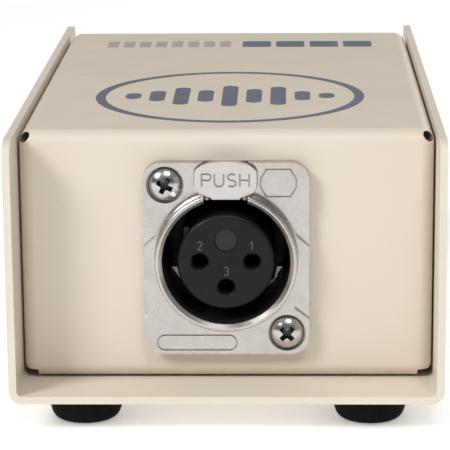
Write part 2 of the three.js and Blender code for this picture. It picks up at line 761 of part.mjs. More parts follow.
// The slider: a carrier behind the panel and a ribbed knob that stands out of the window.
function sliderSolid() {
  const s = slideSwitch;
  const carrierFront = -chassis.sheet - seatGap - 0.25;
  const carrierBack = -chassis.sheet - seatGap - s.plateThickness - s.carrierDepth - 0.3;
  const carrier = block(
    [-s.carrierWidth / 2, carrierBack, -s.carrierHeight / 2],
    [s.carrierWidth / 2, carrierFront, s.carrierHeight / 2],
  );
  const knob = block(
    [-s.knobWidth / 2, carrierFront - 0.2, -s.knobHeight / 2],
    [s.knobWidth / 2, s.knobReach, s.knobHeight / 2],
  );
  const grooves = [-1, 0, 1].map((i) =>
    block([i - 0.22, s.knobReach - 0.4, -s.knobHeight], [i + 0.22, s.knobReach + 1, s.knobHeight]),
  );
  return cut(join(carrier, knob), ...grooves);
}

function addSwitch(name, sign) {
  const group = addGroup(sign * switchX, rearFace, switchHeight);
  addPiece(group, `${name}_switch_frame`, switchFrameSolid(), blackPlastic);
  addPiece(group, `${name}_switch_slider`, sliderSolid(), blackPlastic).position.x = -slideSwitch.travel / 2;
  const length = chassis.sheet + slideSwitch.plateThickness + 1.2;
  sides.forEach((side) => {
    const screw = addPiece(group, `${name}_switch_screw_${side.name}`, panScrew(slideSwitch.screw, length), nickel);
    screw.rotation.z = Math.PI;
    screw.position.set((side.sign * slideSwitch.screwPitch) / 2, seatGap, 0);
  });
}

// The audio transformer: a laminated core, a bobbin on its middle leg, the winding and a strap.
function addTransformer() {
  const t = transformer;
  const group = addGroup(0, transformerY, boardTop + t.lift + t.height / 2);
  const [w, h, stack] = [t.width / 2, t.height / 2, t.stack / 2];
  const windowInner = t.centreLeg / 2;
  const windowOuter = w - t.centreLeg / 2;
  const windowZ = h - t.yoke;
  const windows = sides.map(({ sign }) => {
    const edges = [sign * windowInner, sign * windowOuter].sort((a, b) => a - b);
    return block([edges[0], -stack - 1, -windowZ], [edges[1], stack + 1, windowZ]);
  });
  addPiece(group, "transformer_core", cut(block([-w, -stack, -h], [w, stack, h]), ...windows), coreSteel);

  const [innerX, innerY] = [windowInner + t.gap, stack + t.gap];
  const [tubeX, tubeY] = [innerX + t.bobbinWall, innerY + t.bobbinWall];
  const [outX, outY] = [windowOuter - t.gap, stack + t.bobbinReach];
  const top = windowZ - t.gap;
  const flange = (z0, z1) => block([-outX, -outY, z0], [outX, outY, z1]);
  const tube = block([-tubeX, -tubeY, -top], [tubeX, tubeY, top]);
  const legRoom = block([-innerX, -innerY, -top - 1], [innerX, innerY, top + 1]);
  const bobbin = cut(join(tube, flange(-top, -top + 1), flange(top - 1, top)), legRoom);
  addPiece(group, "transformer_bobbin", bobbin, tanBody);

  const wound = roundedRectangle(2 * (outX - 0.6), 2 * (outY - 0.6), 2);
  const tubeRoom = block([-tubeX - 0.1, -tubeY - 0.1, -top], [tubeX + 0.1, tubeY + 0.1, top]);
  const winding = cut(plateAlongZ(wound, -top + 1.1, top - 1.1), tubeRoom);
  addPiece(group, "transformer_winding", winding, copper);

  const [strapIn, strapY] = [w + t.gap, t.strapWidth / 2];
  const feetBottom = -h - t.lift + seatGap;
  const outline = polygon([
    [-strapIn - t.strapFoot, feetBottom],
    [-strapIn, feetBottom],
    [-strapIn, h + t.gap],
    [strapIn, h + t.gap],
    [strapIn, feetBottom],
    [strapIn + t.strapFoot, feetBottom],
    [strapIn + t.strapFoot, feetBottom + t.strap],
    [strapIn + t.strap, feetBottom + t.strap],
    [strapIn + t.strap, h + t.gap + t.strap],
    [-strapIn - t.strap, h + t.gap + t.strap],
    [-strapIn - t.strap, feetBottom + t.strap],
    [-strapIn - t.strapFoot, feetBottom + t.strap],
  ]);
  addPiece(group, "transformer_strap", plateAlongY(outline, -strapY, strapY), zincSteel);
}

// A resistor lying along X, with two bent leads that stand on the board.
function resistorSolid() {
  const [bodyLength, bodyRadius, leadRadius, span, height] = [6.5, 1.2, 0.3, 10, 1.6];
  const body = bar(bodyRadius, bodyLength, 0, height);
  const lead = bar(leadRadius, span + 2 * leadRadius, 0, height, 8);
  const legs = [-1, 1].map((end) => post(leadRadius, 0, height, (end * span) / 2, 0, 8));
  return join(body, lead, ...legs);
}

function addComponents() {
  const row = -boardHalfWidth + 8.5;
  [0, 1].forEach((i) => {
    const resistor = addPiece(box, `pad_resistor_${i + 1}`, resistorSolid(), tanBody);
    resistor.position.set(row, transformerY - 17 + 4 * i, boardTop + seatGap);
  });
  const capacitor = new RoundedBoxGeometry(10, 4.5, 8, 1, 0.6);
  addPiece(box, "film_capacitor", toSolid(capacitor), redBody).position.set(
    -row,
    transformerY - 16,
    boardTop + seatGap + 4,
  );
}

function addWires() {
  const cup = frontFace + socket.barrelLength + 4 + 0.3;
  const colours = [finish(0x3a3a3c, 0.6, 0), finish(0xa8312c, 0.6, 0), finish(0xd9d5cc, 0.6, 0)];
  contactPlaces().forEach(([x, z], i) => {
    const [start, end] = [socketHeight + z, boardTop + 0.3];
    const middle = (start + end) / 2;
    const route = [
      [x, cup, start],
      [x, cup + 1.6, start],
      [1.1 * x, cup + 3.2, start - 1.6],
      [1.4 * x, cup + 3.6, middle],
      [1.6 * x, cup + 3.6, end],
    ];
    addPiece(box, `output_wire_${i + 1}`, wire(route), colours[i]);
  });
  const plateBack = rearFace - chassis.sheet - seatGap - slideSwitch.plateThickness;
  const start = plateBack - slideSwitch.housingDepth - 0.3;
  [
    { name: "lift", sign: -1, colour: colours[0] },
    { name: "pad", sign: 1, colour: colours[1] },
  ].forEach(({ name, sign, colour }) => {
    const edge = sign * (boardHalfWidth - 2.2);
    const x = sign * switchX;
    const high = switchHeight - 1.5;
    const route = [
      [x, start, switchHeight],
      [x, start - 2, switchHeight],
      [(x + edge) / 2, start - 6, high],
      [edge, start - 9, (high + boardTop) / 2 + 4],
      [edge, start - 10.5, boardTop + 4],
      [edge, start - 10.5, boardTop + 0.3],
    ];
    addPiece(box, `${name}_switch_wire`, wire(route), colour);
  });
}

addCase();
addBoard();
addSocket();
addJack("input", -1);
addJack("thru", 1);
addSwitch("lift", -1);
addSwitch("pad", 1);
addTransformer();
addComponents();
addWires();

export default box;
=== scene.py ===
import math

import bmesh
import bpy
from mathutils import Matrix, Vector


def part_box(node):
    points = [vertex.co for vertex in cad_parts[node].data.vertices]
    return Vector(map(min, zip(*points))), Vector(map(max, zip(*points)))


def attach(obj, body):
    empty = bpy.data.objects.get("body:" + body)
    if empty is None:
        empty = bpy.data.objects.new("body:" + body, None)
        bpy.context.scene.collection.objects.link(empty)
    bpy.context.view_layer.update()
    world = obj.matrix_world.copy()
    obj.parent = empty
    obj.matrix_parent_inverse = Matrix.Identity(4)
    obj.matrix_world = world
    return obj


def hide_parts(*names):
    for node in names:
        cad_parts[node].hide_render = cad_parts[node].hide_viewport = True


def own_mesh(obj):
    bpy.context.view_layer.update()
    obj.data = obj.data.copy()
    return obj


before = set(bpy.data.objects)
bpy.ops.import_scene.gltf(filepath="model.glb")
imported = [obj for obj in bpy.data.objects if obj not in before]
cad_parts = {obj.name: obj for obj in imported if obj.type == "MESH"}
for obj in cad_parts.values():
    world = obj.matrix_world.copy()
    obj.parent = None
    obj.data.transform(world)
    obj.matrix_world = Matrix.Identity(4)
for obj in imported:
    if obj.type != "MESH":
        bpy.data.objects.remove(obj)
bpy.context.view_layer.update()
scene = bpy.context.scene
print("frame loaded:", len(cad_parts), "nodes")

mm = 0.001  # shapes are made in millimetres and brought to metres when they are finished
corners = ["front_left", "front_right", "rear_left", "rear_right"]
past = 1  # how far a cutting shape reaches past what it cuts


def nodeBox(node):
    low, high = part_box(node)
    return low / mm, high / mm


def middle(node):
    low, high = nodeBox(node)
    return (low + high) / 2


def atCorners(kind):
    return [f"{kind}_{corner}" for corner in corners]


# The middle of each node with some coordinates set, and one turn for all.
def placesAt(nodes, turn=(0, 0, 0), **fixed):
    places = []
    for node in nodes:
        spot = middle(node)
        for axis, value in fixed.items():
            setattr(spot, axis, value)
        places.append((tuple(spot), turn))
    return places


# Outlines are lists of (a, b) pairs.
def arc(centre, radius, start, end, steps=8):
    points = []
    for i in range(steps + 1):
        angle = math.radians(start + (end - start) * i / steps)
        points.append((centre[0] + radius * math.cos(angle), centre[1] + radius * math.sin(angle)))
    return points


def roundedRectangle(width, height, radius, centre=(0, 0), steps=8):
    a, b = width / 2 - radius, height / 2 - radius
    points = []
    for i, (sa, sb) in enumerate([(1, -1), (1, 1), (-1, 1), (-1, -1)]):
        points += arc((centre[0] + sa * a, centre[1] + sb * b), radius, 90 * i - 90, 90 * i, steps)
    return points


def hexagonOutline(flats):
    return arc((0, 0), flats / math.sqrt(3), 0, 300, 5)


# A rectangle of half sizes a and b, with its corners cut off.
def cutRectangle(a, b, cutA, cutB, centre=(0, 0)):
    points = []
    for sa, sb in ((1, 1), (-1, 1), (-1, -1), (1, -1)):
        corner = [
            (centre[0] + sa * a, centre[1] + sb * (b - cutB)),
            (centre[0] + sa * (a - cutA), centre[1] + sb * b),
        ]
        points += corner if sa * sb > 0 else corner[::-1]
    return points


# A profile and its mirror image about a height, as one.
def mirrored(profile, about=0.0):
    return profile + [(radius, 2 * about - height) for radius, height in reversed(profile)]


# A line of even width along points, as a closed outline.
def ribbonOutline(points, width):
    left, right = [], []
    for i, point in enumerate(points):
        before, after = points[max(i - 1, 0)], points[min(i + 1, len(points) - 1)]
        along = Vector((after[0] - before[0], after[1] - before[1])).normalized()
        side = Vector((-along.y, along.x)) * width / 2
        left.append((point[0] + side.x, point[1] + side.y))
        right.append((point[0] - side.x, point[1] - side.y))
    return left + right[::-1]


# Meshes, in millimetres.
def meshObject(name, vertices, faces):
    mesh = bpy.data.meshes.new(name)
    mesh.from_pydata([tuple(v) for v in vertices], [], faces)
    made = bpy.data.objects.new(name, mesh)
    scene.collection.objects.link(made)
    return tidyNormals(made)


def tidyNormals(piece, merge=0.0):
    work = bmesh.new()
    work.from_mesh(piece.data)
    if merge:
        bmesh.ops.remove_doubles(work, verts=work.verts, dist=merge)
        bmesh.ops.dissolve_degenerate(work, edges=work.edges, dist=merge)
    bmesh.ops.recalc_face_normals(work, faces=work.faces)
    work.to_mesh(piece.data)
    work.free()
    return piece


def along(axis, a, b, height):
    return {"x": (height, a, b), "y": (a, height, b), "z": (a, b, height)}[axis]


# A solid through outlines of the same count, each at its own height.
def loft(sections, axis="z"):
    count, levels = len(sections[0][0]), len(sections)
    vertices = [along(axis, a, b, height) for outline, height in sections for a, b in outline]
    faces = [list(range(count)), list(range((levels - 1) * count, levels * count))]
    for start in range(0, (levels - 1) * count, count):
        for k in range(count):
            after = (k + 1) % count
            faces.append([start + k, start + after, start + count + after, start + count + k])
    return meshObject("loft", vertices, faces)


def prism(outline, low, high, axis="y"):
    return loft([(outline, low), (outline, high)], axis)


def block(low, high):
    outline = [(low[0], low[2]), (high[0], low[2]), (high[0], high[2]), (low[0], high[2])]
    return prism(outline, low[1], high[1])


# A profile of (radius, height) pairs turned round an axis. It closes on itself unless it ends on the axis.
def turned(profile, axis="y", centre=(0, 0, 0), sides=48):
    vertices, rings = [], []
    for radius, height in profile:
        if radius < 1e-6:
            rings.append([len(vertices)])
            vertices.append(Vector(along(axis, 0, 0, height)) + Vector(centre))
            continue
        rings.append(list(range(len(vertices), len(vertices) + sides)))
        for i in range(sides):
            turn = 2 * math.pi * i / sides
            spot = along(axis, radius * math.cos(turn), radius * math.sin(turn), height)
            vertices.append(Vector(spot) + Vector(centre))
    pairs = list(zip(rings, rings[1:]))
    if len(rings[0]) > 1 and len(rings[-1]) > 1:
        pairs.append((rings[-1], rings[0]))
    faces = []
    for one, two in pairs:
        for i in range(sides):
            j = (i + 1) % sides
            if len(one) == 1 and len(two) == 1:
                break
            if len(one) == 1:
                faces.append([one[0], two[j], two[i]])
            elif len(two) == 1:
                faces.append([one[i], one[j], two[0]])
            else:
                faces.append([one[i], one[j], two[j], two[i]])
    return meshObject("turned", vertices, faces)


def rod(radius, low, high, axis="y", centre=(0, 0, 0), sides=32):
    return turned([(0, low), (radius, low), (radius, high), (0, high)], axis, centre, sides)


# At each point of a path, two directions square to it that don't twist.
def framesAlong(points):
    frames, side = [], None
    for i, point in enumerate(points):
        direction = (points[min(i + 1, len(points) - 1)] - points[max(i - 1, 0)]).normalized()
        if side is None:
            side = direction.orthogonal().normalized()
        side = (side - direction * side.dot(direction)).normalized()
        frames.append((point, side, direction.cross(side)))
    return frames


# One strand of a twisted pair along a path.
def strand(points, offset, pitch, start):
    made, run = [], 0.0
    for i, (point, side, other) in enumerate(framesAlong(points)):
        run += (point - points[i - 1]).length if i else 0.0
        turn = start + 2 * math.pi * run / pitch
        made.append(point + offset * (math.cos(turn) * side + math.sin(turn) * other))
    return made


# A tube of the same round section along points.
def tube(points, radius, sides=14):
    points = [Vector(p) for p in points]
    vertices = []
    for point, side, other in framesAlong(points):
        for k in range(sides):
            turn = 2 * math.pi * k / sides
            vertices.append(point + radius * (math.cos(turn) * side + math.sin(turn) * other))
    count = len(points)
    faces = [list(range(sides)), list(range((count - 1) * sides, count * sides))]
    for i in range(count - 1):
        for k in range(sides):
            j = (k + 1) % sides
            faces.append([i * sides + k, i * sides + j, (i + 1) * sides + j, (i + 1) * sides + k])
    return meshObject("tube", vertices, faces)


# Points on a smooth curve through a few.
def smoothPath(points, steps=10):
    points = [Vector(p) for p in points]
    padded = [2 * points[0] - points[1], *points, 2 * points[-1] - points[-2]]
    path = []
    for a, b, c, d in zip(padded, padded[1:], padded[2:], padded[3:]):
        for i in range(steps):
            t = i / steps
            bend, twist = 2 * a - 5 * b + 4 * c - d, 3 * b - a - 3 * c + d
            path.append(0.5 * (2 * b + (c - a) * t + bend * t**2 + twist * t**3))
    return path + [points[-1]]


# A bent strip: a smooth line through (a, b) points, with a thickness, from low to high along the axis.
def strip(points, thick, low, high, axis="x"):
    path = smoothPath([(a, b, 0) for a, b in points], 6)
    return prism(ribbonOutline([(spot.x, spot.y) for spot in path], thick), low, high, axis)


def bake(piece):
    graph = bpy.context.evaluated_depsgraph_get()
    mesh = bpy.data.meshes.new_from_object(piece.evaluated_get(graph))
    piece.modifiers.clear()
    piece.data = mesh
    return piece


def combine(piece, tools, operation):
    for tool in tools:
        step = piece.modifiers.new("combine", "BOOLEAN")
        step.operation = operation
        step.solver = "MANIFOLD"
        step.object = tool
    bake(piece)
    for tool in tools:
        bpy.data.objects.remove(tool)
    return tidyNormals(piece, 0.002)


def carve(piece, *tools):
    return combine(piece, tools, "DIFFERENCE")


def weld(piece, *tools):
    return combine(piece, tools, "UNION")


# Upright holes at the corners, over the nodes of one kind.
def cornerHoles(kind, radius, low, high):
    return [rod(radius, low, high, "z", (*middle(node).xy, 0)) for node in atCorners(kind)]


# Rounds every edge that is sharper than the angle.
def soften(piece, width, segments=2, angle=40, clamp=True):
    step = piece.modifiers.new("soften", "BEVEL")
    step.width = width
    step.segments = segments
    step.limit_method = "ANGLE"
    step.angle_limit = math.radians(angle)
    step.use_clamp_overlap = clamp
    bake(piece)
    return tidyNormals(piece, 0.0005)


# Puts separate closed bodies into one mesh.
def gather(*parts):
    work = bmesh.new()
    for part in parts:
        part.data.transform(part.matrix_world)
        work.from_mesh(part.data)
    whole = parts[0]
    for part in parts[1:]:
        bpy.data.objects.remove(part)
    work.to_mesh(whole.data)
    work.free()
    return whole


def moved(piece, x=0.0, y=0.0, z=0.0, turn=0.0, axis="Y"):
    piece.data.transform(Matrix.Translation((x, y, z)) @ Matrix.Rotation(math.radians(turn), 4, axis))
    return piece


# The faces whose middle passes the test get one more material.
def paintFaces(piece, material, test):
    piece.data.materials.append(material)
    index = len(piece.data.materials) - 1
    for face in piece.data.polygons:
        if test(face.center / mm, face.normal):
            face.material_index = index


def complete(piece, name, material, body, nodes, sharp=32):
    piece.name = name
    piece.data.materials.clear()
    piece.data.materials.append(material)
    for face in piece.data.polygons:
        face.use_smooth = True
        face.material_index = 0
    # Faces marked as recess get painted shade.
    marks = piece.data.attributes.get("recess")
    if marks:
        piece.data.materials.append(recessPaintedShade)
        for face, mark in zip(piece.data.polygons, marks.data):
            face.material_index = int(mark.value)
        piece.data.attributes.remove(marks)
    piece.data.set_sharp_from_angle(angle=math.radians(sharp))
    step = piece.modifiers.new("weighted", "WEIGHTED_NORMAL")
    step.keep_sharp = True
    bake(piece)
    piece.data.transform(Matrix.Scale(mm, 4))
    piece.data.name = name
    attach(piece, body)
    if nodes:
        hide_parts(*nodes)
    return piece


# Node trees.
def feed(tree, socket, value):
    if isinstance(value, bpy.types.NodeSocket):
        tree.links.new(value, socket)
    else:
        socket.default_value = value


def link(tree, *pairs):
    for source, target in pairs:
        tree.links.new(source, target)


def calc(tree, operation, *values):
    node = tree.nodes.new("ShaderNodeMath")
    node.operation = operation
    for socket, value in zip(node.inputs, values):
        feed(tree, socket, value)
    return node.outputs[0]


def newTree(name, inputs):
    tree = bpy.data.node_groups.new(name, "GeometryNodeTree")
    for label, kind in inputs.items():
        tree.interface.new_socket(name=label, in_out="INPUT", socket_type="NodeSocket" + kind)
    tree.interface.new_socket(name="Geometry", in_out="OUTPUT", socket_type="NodeSocketGeometry")
    return tree, tree.nodes.new("NodeGroupInput").outputs


def endTree(tree, geometry, finish):
    realize = tree.nodes.new("GeometryNodeRealizeInstances")
    paint = tree.nodes.new("GeometryNodeSetMaterial")
    leave = tree.nodes.new("NodeGroupOutput")
    link(
        tree,
        (geometry, realize.inputs["Geometry"]),
        (realize.outputs["Geometry"], paint.inputs["Geometry"]),
        (finish, paint.inputs["Material"]),
        (paint.outputs["Geometry"], leave.inputs["Geometry"]),
    )
    return tree


def runTree(piece, tree, values):
    step = piece.modifiers.new(tree.name, "NODES")
    step.node_group = tree
    for item in tree.interface.items_tree:
        if item.in_out == "INPUT" and item.name in values:
            step[item.identifier] = values[item.name]
    return bake(piece)


# Copies of one shape on points, each turned by the point's own "turn".
def buildCopiesTree():
    inputs = {"Geometry": "Geometry", "Source": "Object", "Size": "Float", "Finish": "Material"}
    tree, entry = newTree("copiesOnPoints", inputs)
    info = tree.nodes.new("GeometryNodeObjectInfo")
    turn = tree.nodes.new("GeometryNodeInputNamedAttribute")
    turn.data_type = "FLOAT_VECTOR"
    turn.inputs["Name"].default_value = "turn"
    euler = tree.nodes.new("FunctionNodeEulerToRotation")
    spread = tree.nodes.new("GeometryNodeInstanceOnPoints")
    link(
        tree,
        (entry["Source"], info.inputs["Object"]),
        (turn.outputs["Attribute"], euler.inputs["Euler"]),
        (entry["Geometry"], spread.inputs["Points"]),
        (info.outputs["Geometry"], spread.inputs["Instance"]),
        (euler.outputs["Rotation"], spread.inputs["Rotation"]),
        (entry["Size"], spread.inputs["Scale"]),
    )
    return endTree(tree, spread.outputs["Instances"], entry["Finish"])


# A helical thread cut into whatever lies outside a radius, round the Y axis.
def buildThreadTree():
    inputs = {"Geometry": "Geometry", "Pitch": "Float", "Depth": "Float", "Inner": "Float"}
    inputs.update({"Start": "Float", "End": "Float", "Finish": "Material"})
    tree, entry = newTree("helicalThread", inputs)
    split = tree.nodes.new("ShaderNodeSeparateXYZ")
    spot = tree.nodes.new("GeometryNodeInputPosition")
    tree.links.new(spot.outputs["Position"], split.inputs[0])
    x, y, z = split.outputs

    def do(operation, *values):
        return calc(tree, operation, *values)

    radius = do("SQRT", do("ADD", do("MULTIPLY", x, x), do("MULTIPLY", z, z)))
    turns = do("DIVIDE", do("ARCTAN2", z, x), 2 * math.pi)
    phase = do("FRACT", do("SUBTRACT", do("DIVIDE", y, entry["Pitch"]), turns))
    valley = do("ABSOLUTE", do("SUBTRACT", do("MULTIPLY", phase, 2.0), 1.0))
    rise = do("DIVIDE", do("SUBTRACT", y, entry["Start"]), entry["Pitch"])
    fall = do("DIVIDE", do("SUBTRACT", entry["End"], y), entry["Pitch"])
    fade = do("MAXIMUM", do("MINIMUM", do("MINIMUM", rise, fall), 1.0), 0.0)
    outside = do("GREATER_THAN", radius, entry["Inner"])
    depth = do("MULTIPLY", do("MULTIPLY", valley, fade), do("MULTIPLY", outside, entry["Depth"]))
    share = do("DIVIDE", depth, do("MAXIMUM", radius, 0.01))
    offset = tree.nodes.new("ShaderNodeCombineXYZ")
    shift = tree.nodes.new("GeometryNodeSetPosition")
    link(
        tree,
        (do("MULTIPLY", do("MULTIPLY", x, share), -1.0), offset.inputs[0]),
        (do("MULTIPLY", do("MULTIPLY", z, share), -1.0), offset.inputs[2]),
        (entry["Geometry"], shift.inputs["Geometry"]),
        (offset.outputs[0], shift.inputs["Offset"]),
    )
    return endTree(tree, shift.outputs["Geometry"], entry["Finish"])


# A stack of one plate along Y, each moved a little by a seeded random amount.
def buildStackTree():
    inputs = {"Geometry": "Geometry", "Source": "Object", "Count": "Int", "Pitch": "Float"}
    inputs.update({"Play": "Float", "Seed": "Int", "Finish": "Material"})
    tree, entry = newTree("stackOfPlates", inputs)
    line = tree.nodes.new("GeometryNodeMeshLine")
    step = tree.nodes.new("ShaderNodeCombineXYZ")
    info = tree.nodes.new("GeometryNodeObjectInfo")
    chance = tree.nodes.new("FunctionNodeRandomValue")
    chance.data_type = "FLOAT_VECTOR"
    chance.inputs[0].default_value = (-1, 0, -1)
    chance.inputs[1].default_value = (1, 0, 1)
    scale = tree.nodes.new("ShaderNodeVectorMath")
    scale.operation = "SCALE"
    shift = tree.nodes.new("GeometryNodeSetPosition")
    spread = tree.nodes.new("GeometryNodeInstanceOnPoints")
    link(
        tree,
        (entry["Count"], line.inputs["Count"]),
        (entry["Pitch"], step.inputs[1]),
        (step.outputs[0], line.inputs["Offset"]),
        (entry["Source"], info.inputs["Object"]),
        (entry["Seed"], chance.inputs["Seed"]),
        (chance.outputs[0], scale.inputs[0]),
        (entry["Play"], scale.inputs["Scale"]),
        (line.outputs["Mesh"], shift.inputs["Geometry"]),
        (scale.outputs[0], shift.inputs["Offset"]),
        (shift.outputs["Geometry"], spread.inputs["Points"]),
        (info.outputs["Geometry"], spread.inputs["Instance"]),
    )
    return endTree(tree, spread.outputs["Instances"], entry["Finish"])


copiesTree, threadTree, stackTree = buildCopiesTree(), buildThreadTree(), buildStackTree()


# places are (position, (turn x, turn y, turn z) in degrees).
def copies(source, places, material):
    carrier = meshObject("carrier", [place for place, turn in places], [])
    turns = carrier.data.attributes.new("turn", "FLOAT_VECTOR", "POINT")
    for i, (place, turn) in enumerate(places):
        turns.data[i].vector = [math.radians(t) for t in turn]
    runTree(carrier, copiesTree, {"Source": source, "Size": 1.0, "Finish": material})
    bpy.data.objects.remove(source)
    return tidyNormals(carrier)


# Copies of one shape, finished as one piece of the case.
def completeSet(source, places, name, material, nodes):
    return complete(copies(source, places, material), name, material, "case", nodes)


# Materials. Sizes of grain and mottle are in metres.
def mapRange(tree, value, fromMin, fromMax, toMin=0.0, toMax=1.0):
    node = tree.nodes.new("ShaderNodeMapRange")
    for socket, amount in zip(node.inputs, (value, fromMin, fromMax, toMin, toMax)):
        feed(tree, socket, amount)
    return node


def mixColours(tree, factor, one, two):
    node = tree.nodes.new("ShaderNodeMix")
    node.data_type = "RGBA"
    for socket, value in ((node.inputs["Factor"], factor), (node.inputs[6], one), (node.inputs[7], two)):
        feed(tree, socket, value)
    return node.outputs[2]


def finish(name, look):
    material = bpy.data.materials.new(name)
    material.use_nodes = True
    tree = material.node_tree
    shader = tree.nodes["Principled BSDF"]
    coords = tree.nodes.new("ShaderNodeTexCoord").outputs["Object"]
    if "stretch" in look:
        mapping = tree.nodes.new("ShaderNodeMapping")
        mapping.inputs["Scale"].default_value = look["stretch"]
        tree.links.new(coords, mapping.inputs["Vector"])
        coords = mapping.outputs["Vector"]

    def noise(size, detail):
        node = tree.nodes.new("ShaderNodeTexNoise")
        node.inputs["Scale"].default_value = 1 / size
        node.inputs["Detail"].default_value = detail
        tree.links.new(coords, node.inputs["Vector"])
        return node.outputs["Fac"]

    spread = mapRange(tree, noise(look["mottle"], 4), 0.35, 0.65).outputs["Result"]
    colour = mixColours(tree, spread, (*look["colour"], 1), (*look["second"], 1))
    if "edge" in look:  # paler along the edges, where the dip is thin
        pointiness = tree.nodes.new("ShaderNodeNewGeometry").outputs["Pointiness"]
        worn = mapRange(tree, pointiness, *look["edgeFromTo"]).outputs["Result"]
        colour = mixColours(tree, worn, colour, (*look["edge"], 1))
    tree.links.new(colour, shader.inputs["Base Color"])
    rough = mapRange(tree, noise(look["mottle"] / 3, 3), 0.3, 0.7, *look["rough"])
    tree.links.new(rough.outputs["Result"], shader.inputs["Roughness"])
    shader.inputs["Metallic"].default_value = look.get("metal", 0.0)
    bump = tree.nodes.new("ShaderNodeBump")
    bump.inputs["Distance"].default_value = look["depth"]
    tree.links.new(noise(look["grain"], look.get("detail", 2)), bump.inputs["Height"])
    tree.links.new(bump.outputs["Normal"], shader.inputs["Normal"])
    for socket, value in look.get("sockets", {}).items():
        shader.inputs[socket].default_value = value
    material.diffuse_color = (*look["colour"], 1)
    return material


powderCoat = {
    "colour": (0.725, 0.652, 0.548),
    "second": (0.74, 0.668, 0.564),
    "mottle": 0.018,
    "rough": (0.4, 0.5),
    "grain": 0.00055,
    "depth": 0.000012,
    "detail": 3,
    "sockets": {"Specular IOR Level": 0.45},
}
sleevePaint = finish("sleevePaint", powderCoat)
chassisCoat = {**powderCoat, "colour": (0.705, 0.622, 0.515), "second": (0.72, 0.638, 0.53)}
chassisPaint = finish("chassisPaint", chassisCoat)
# A darker beige, painted shade for the inside of the chassis corner relief holes.
reliefPaintedShade = finish("reliefPaintedShade", {
    "colour": (0.1, 0.085, 0.068), "second": (0.08, 0.068, 0.054), "mottle": 0.002,
    "rough": (0.5, 0.6), "grain": 0.0004, "depth": 0.00001,
})
printInk = finish("printInk", {
    "colour": (0.13, 0.14, 0.19), "second": (0.15, 0.16, 0.21), "mottle": 0.004,
    "rough": (0.42, 0.55), "grain": 0.0004, "depth": 0.000008,
})
paleInk = finish("paleInk", {
    "colour": (0.42, 0.38, 0.34), "second": (0.45, 0.41, 0.37), "mottle": 0.004,
    "rough": (0.42, 0.55), "grain": 0.0004, "depth": 0.000008,
})
footRubber = finish("footRubber", {
    "colour": (0.0035, 0.0032, 0.0032), "second": (0.006, 0.0056, 0.0054), "mottle": 0.003,
    "rough": (0.7, 0.85), "grain": 0.00018, "depth": 0.00001, "sockets": {"Specular IOR Level": 0.1},
})
satinNickel = finish("satinNickel", {
    "colour": (0.57, 0.54, 0.51), "second": (0.53, 0.5, 0.47), "mottle": 0.0035,
    "rough": (0.24, 0.34), "metal": 1.0, "grain": 0.00025, "depth": 0.000003,
})
latchNickel = finish("latchNickel", {
    "colour": (0.69, 0.655, 0.63), "second": (0.66, 0.625, 0.6), "mottle": 0.003,
    "rough": (0.34, 0.44), "metal": 1.0, "grain": 0.00016, "depth": 0.000004,
})
brightNickel = finish("brightNickel", {
    "colour": (0.56, 0.545, 0.53), "second": (0.51, 0.495, 0.48), "mottle": 0.0025,
    "rough": (0.16, 0.26), "metal": 1.0, "grain": 0.0003, "depth": 0.000002,
})
zincPlate = finish("zincPlate", {
    "colour": (0.6, 0.6, 0.585), "second": (0.5, 0.51, 0.51), "mottle": 0.002,
    "rough": (0.24, 0.4), "metal": 1.0, "grain": 0.0003, "depth": 0.000003,
})
springSteel = finish("springSteel", {
    "colour": (0.63, 0.6, 0.56), "second": (0.52, 0.5, 0.47), "mottle": 0.002,
    "rough": (0.22, 0.36), "metal": 1.0, "grain": 0.0002, "depth": 0.000003, "stretch": (1, 0.2, 1),
})
insertPlastic = finish("insertPlastic", {
    "colour": (0.0062, 0.0058, 0.0063), "second": (0.0085, 0.0081, 0.0087), "mottle": 0.004,
    "rough": (0.34, 0.44), "grain": 0.00012, "depth": 0.000005, "sockets": {"Specular IOR Level": 0.22},
})
# A lighter grey, painted highlight on the tops of the raised digits.
digitPaintedHighlight = finish("digitPaintedHighlight", {
    "colour": (0.05, 0.049, 0.051), "second": (0.06, 0.058, 0.06), "mottle": 0.002,
    "rough": (0.35, 0.45), "grain": 0.00012, "depth": 0.000004,
})
# A tan metal, painted reflection tone on the latch ears and the front tips of the ground contact.
paintedReflectionTan = finish("paintedReflectionTan", {
    "colour": (0.33, 0.285, 0.235), "second": (0.28, 0.24, 0.195), "mottle": 0.001,
    "rough": (0.3, 0.42), "metal": 1.0, "grain": 0.0002, "depth": 0.000003,
})
# Darker nickel, painted shade on the floors of grooves, screw seats and stamped letters.
hollowPaintedShade = finish("hollowPaintedShade", {
    "colour": (0.4, 0.38, 0.365), "second": (0.36, 0.34, 0.325), "mottle": 0.001,
    "rough": (0.35, 0.45), "metal": 1.0, "grain": 0.0002, "depth": 0.000003,
})
# Near-black metal, painted shade inside the cross recesses of the screw heads.
recessPaintedShade = finish("recessPaintedShade", {
    "colour": (0.09, 0.087, 0.083), "second": (0.06, 0.058, 0.055), "mottle": 0.0012,
    "rough": (0.35, 0.5), "metal": 1.0, "grain": 0.0002, "depth": 0.000003,
})
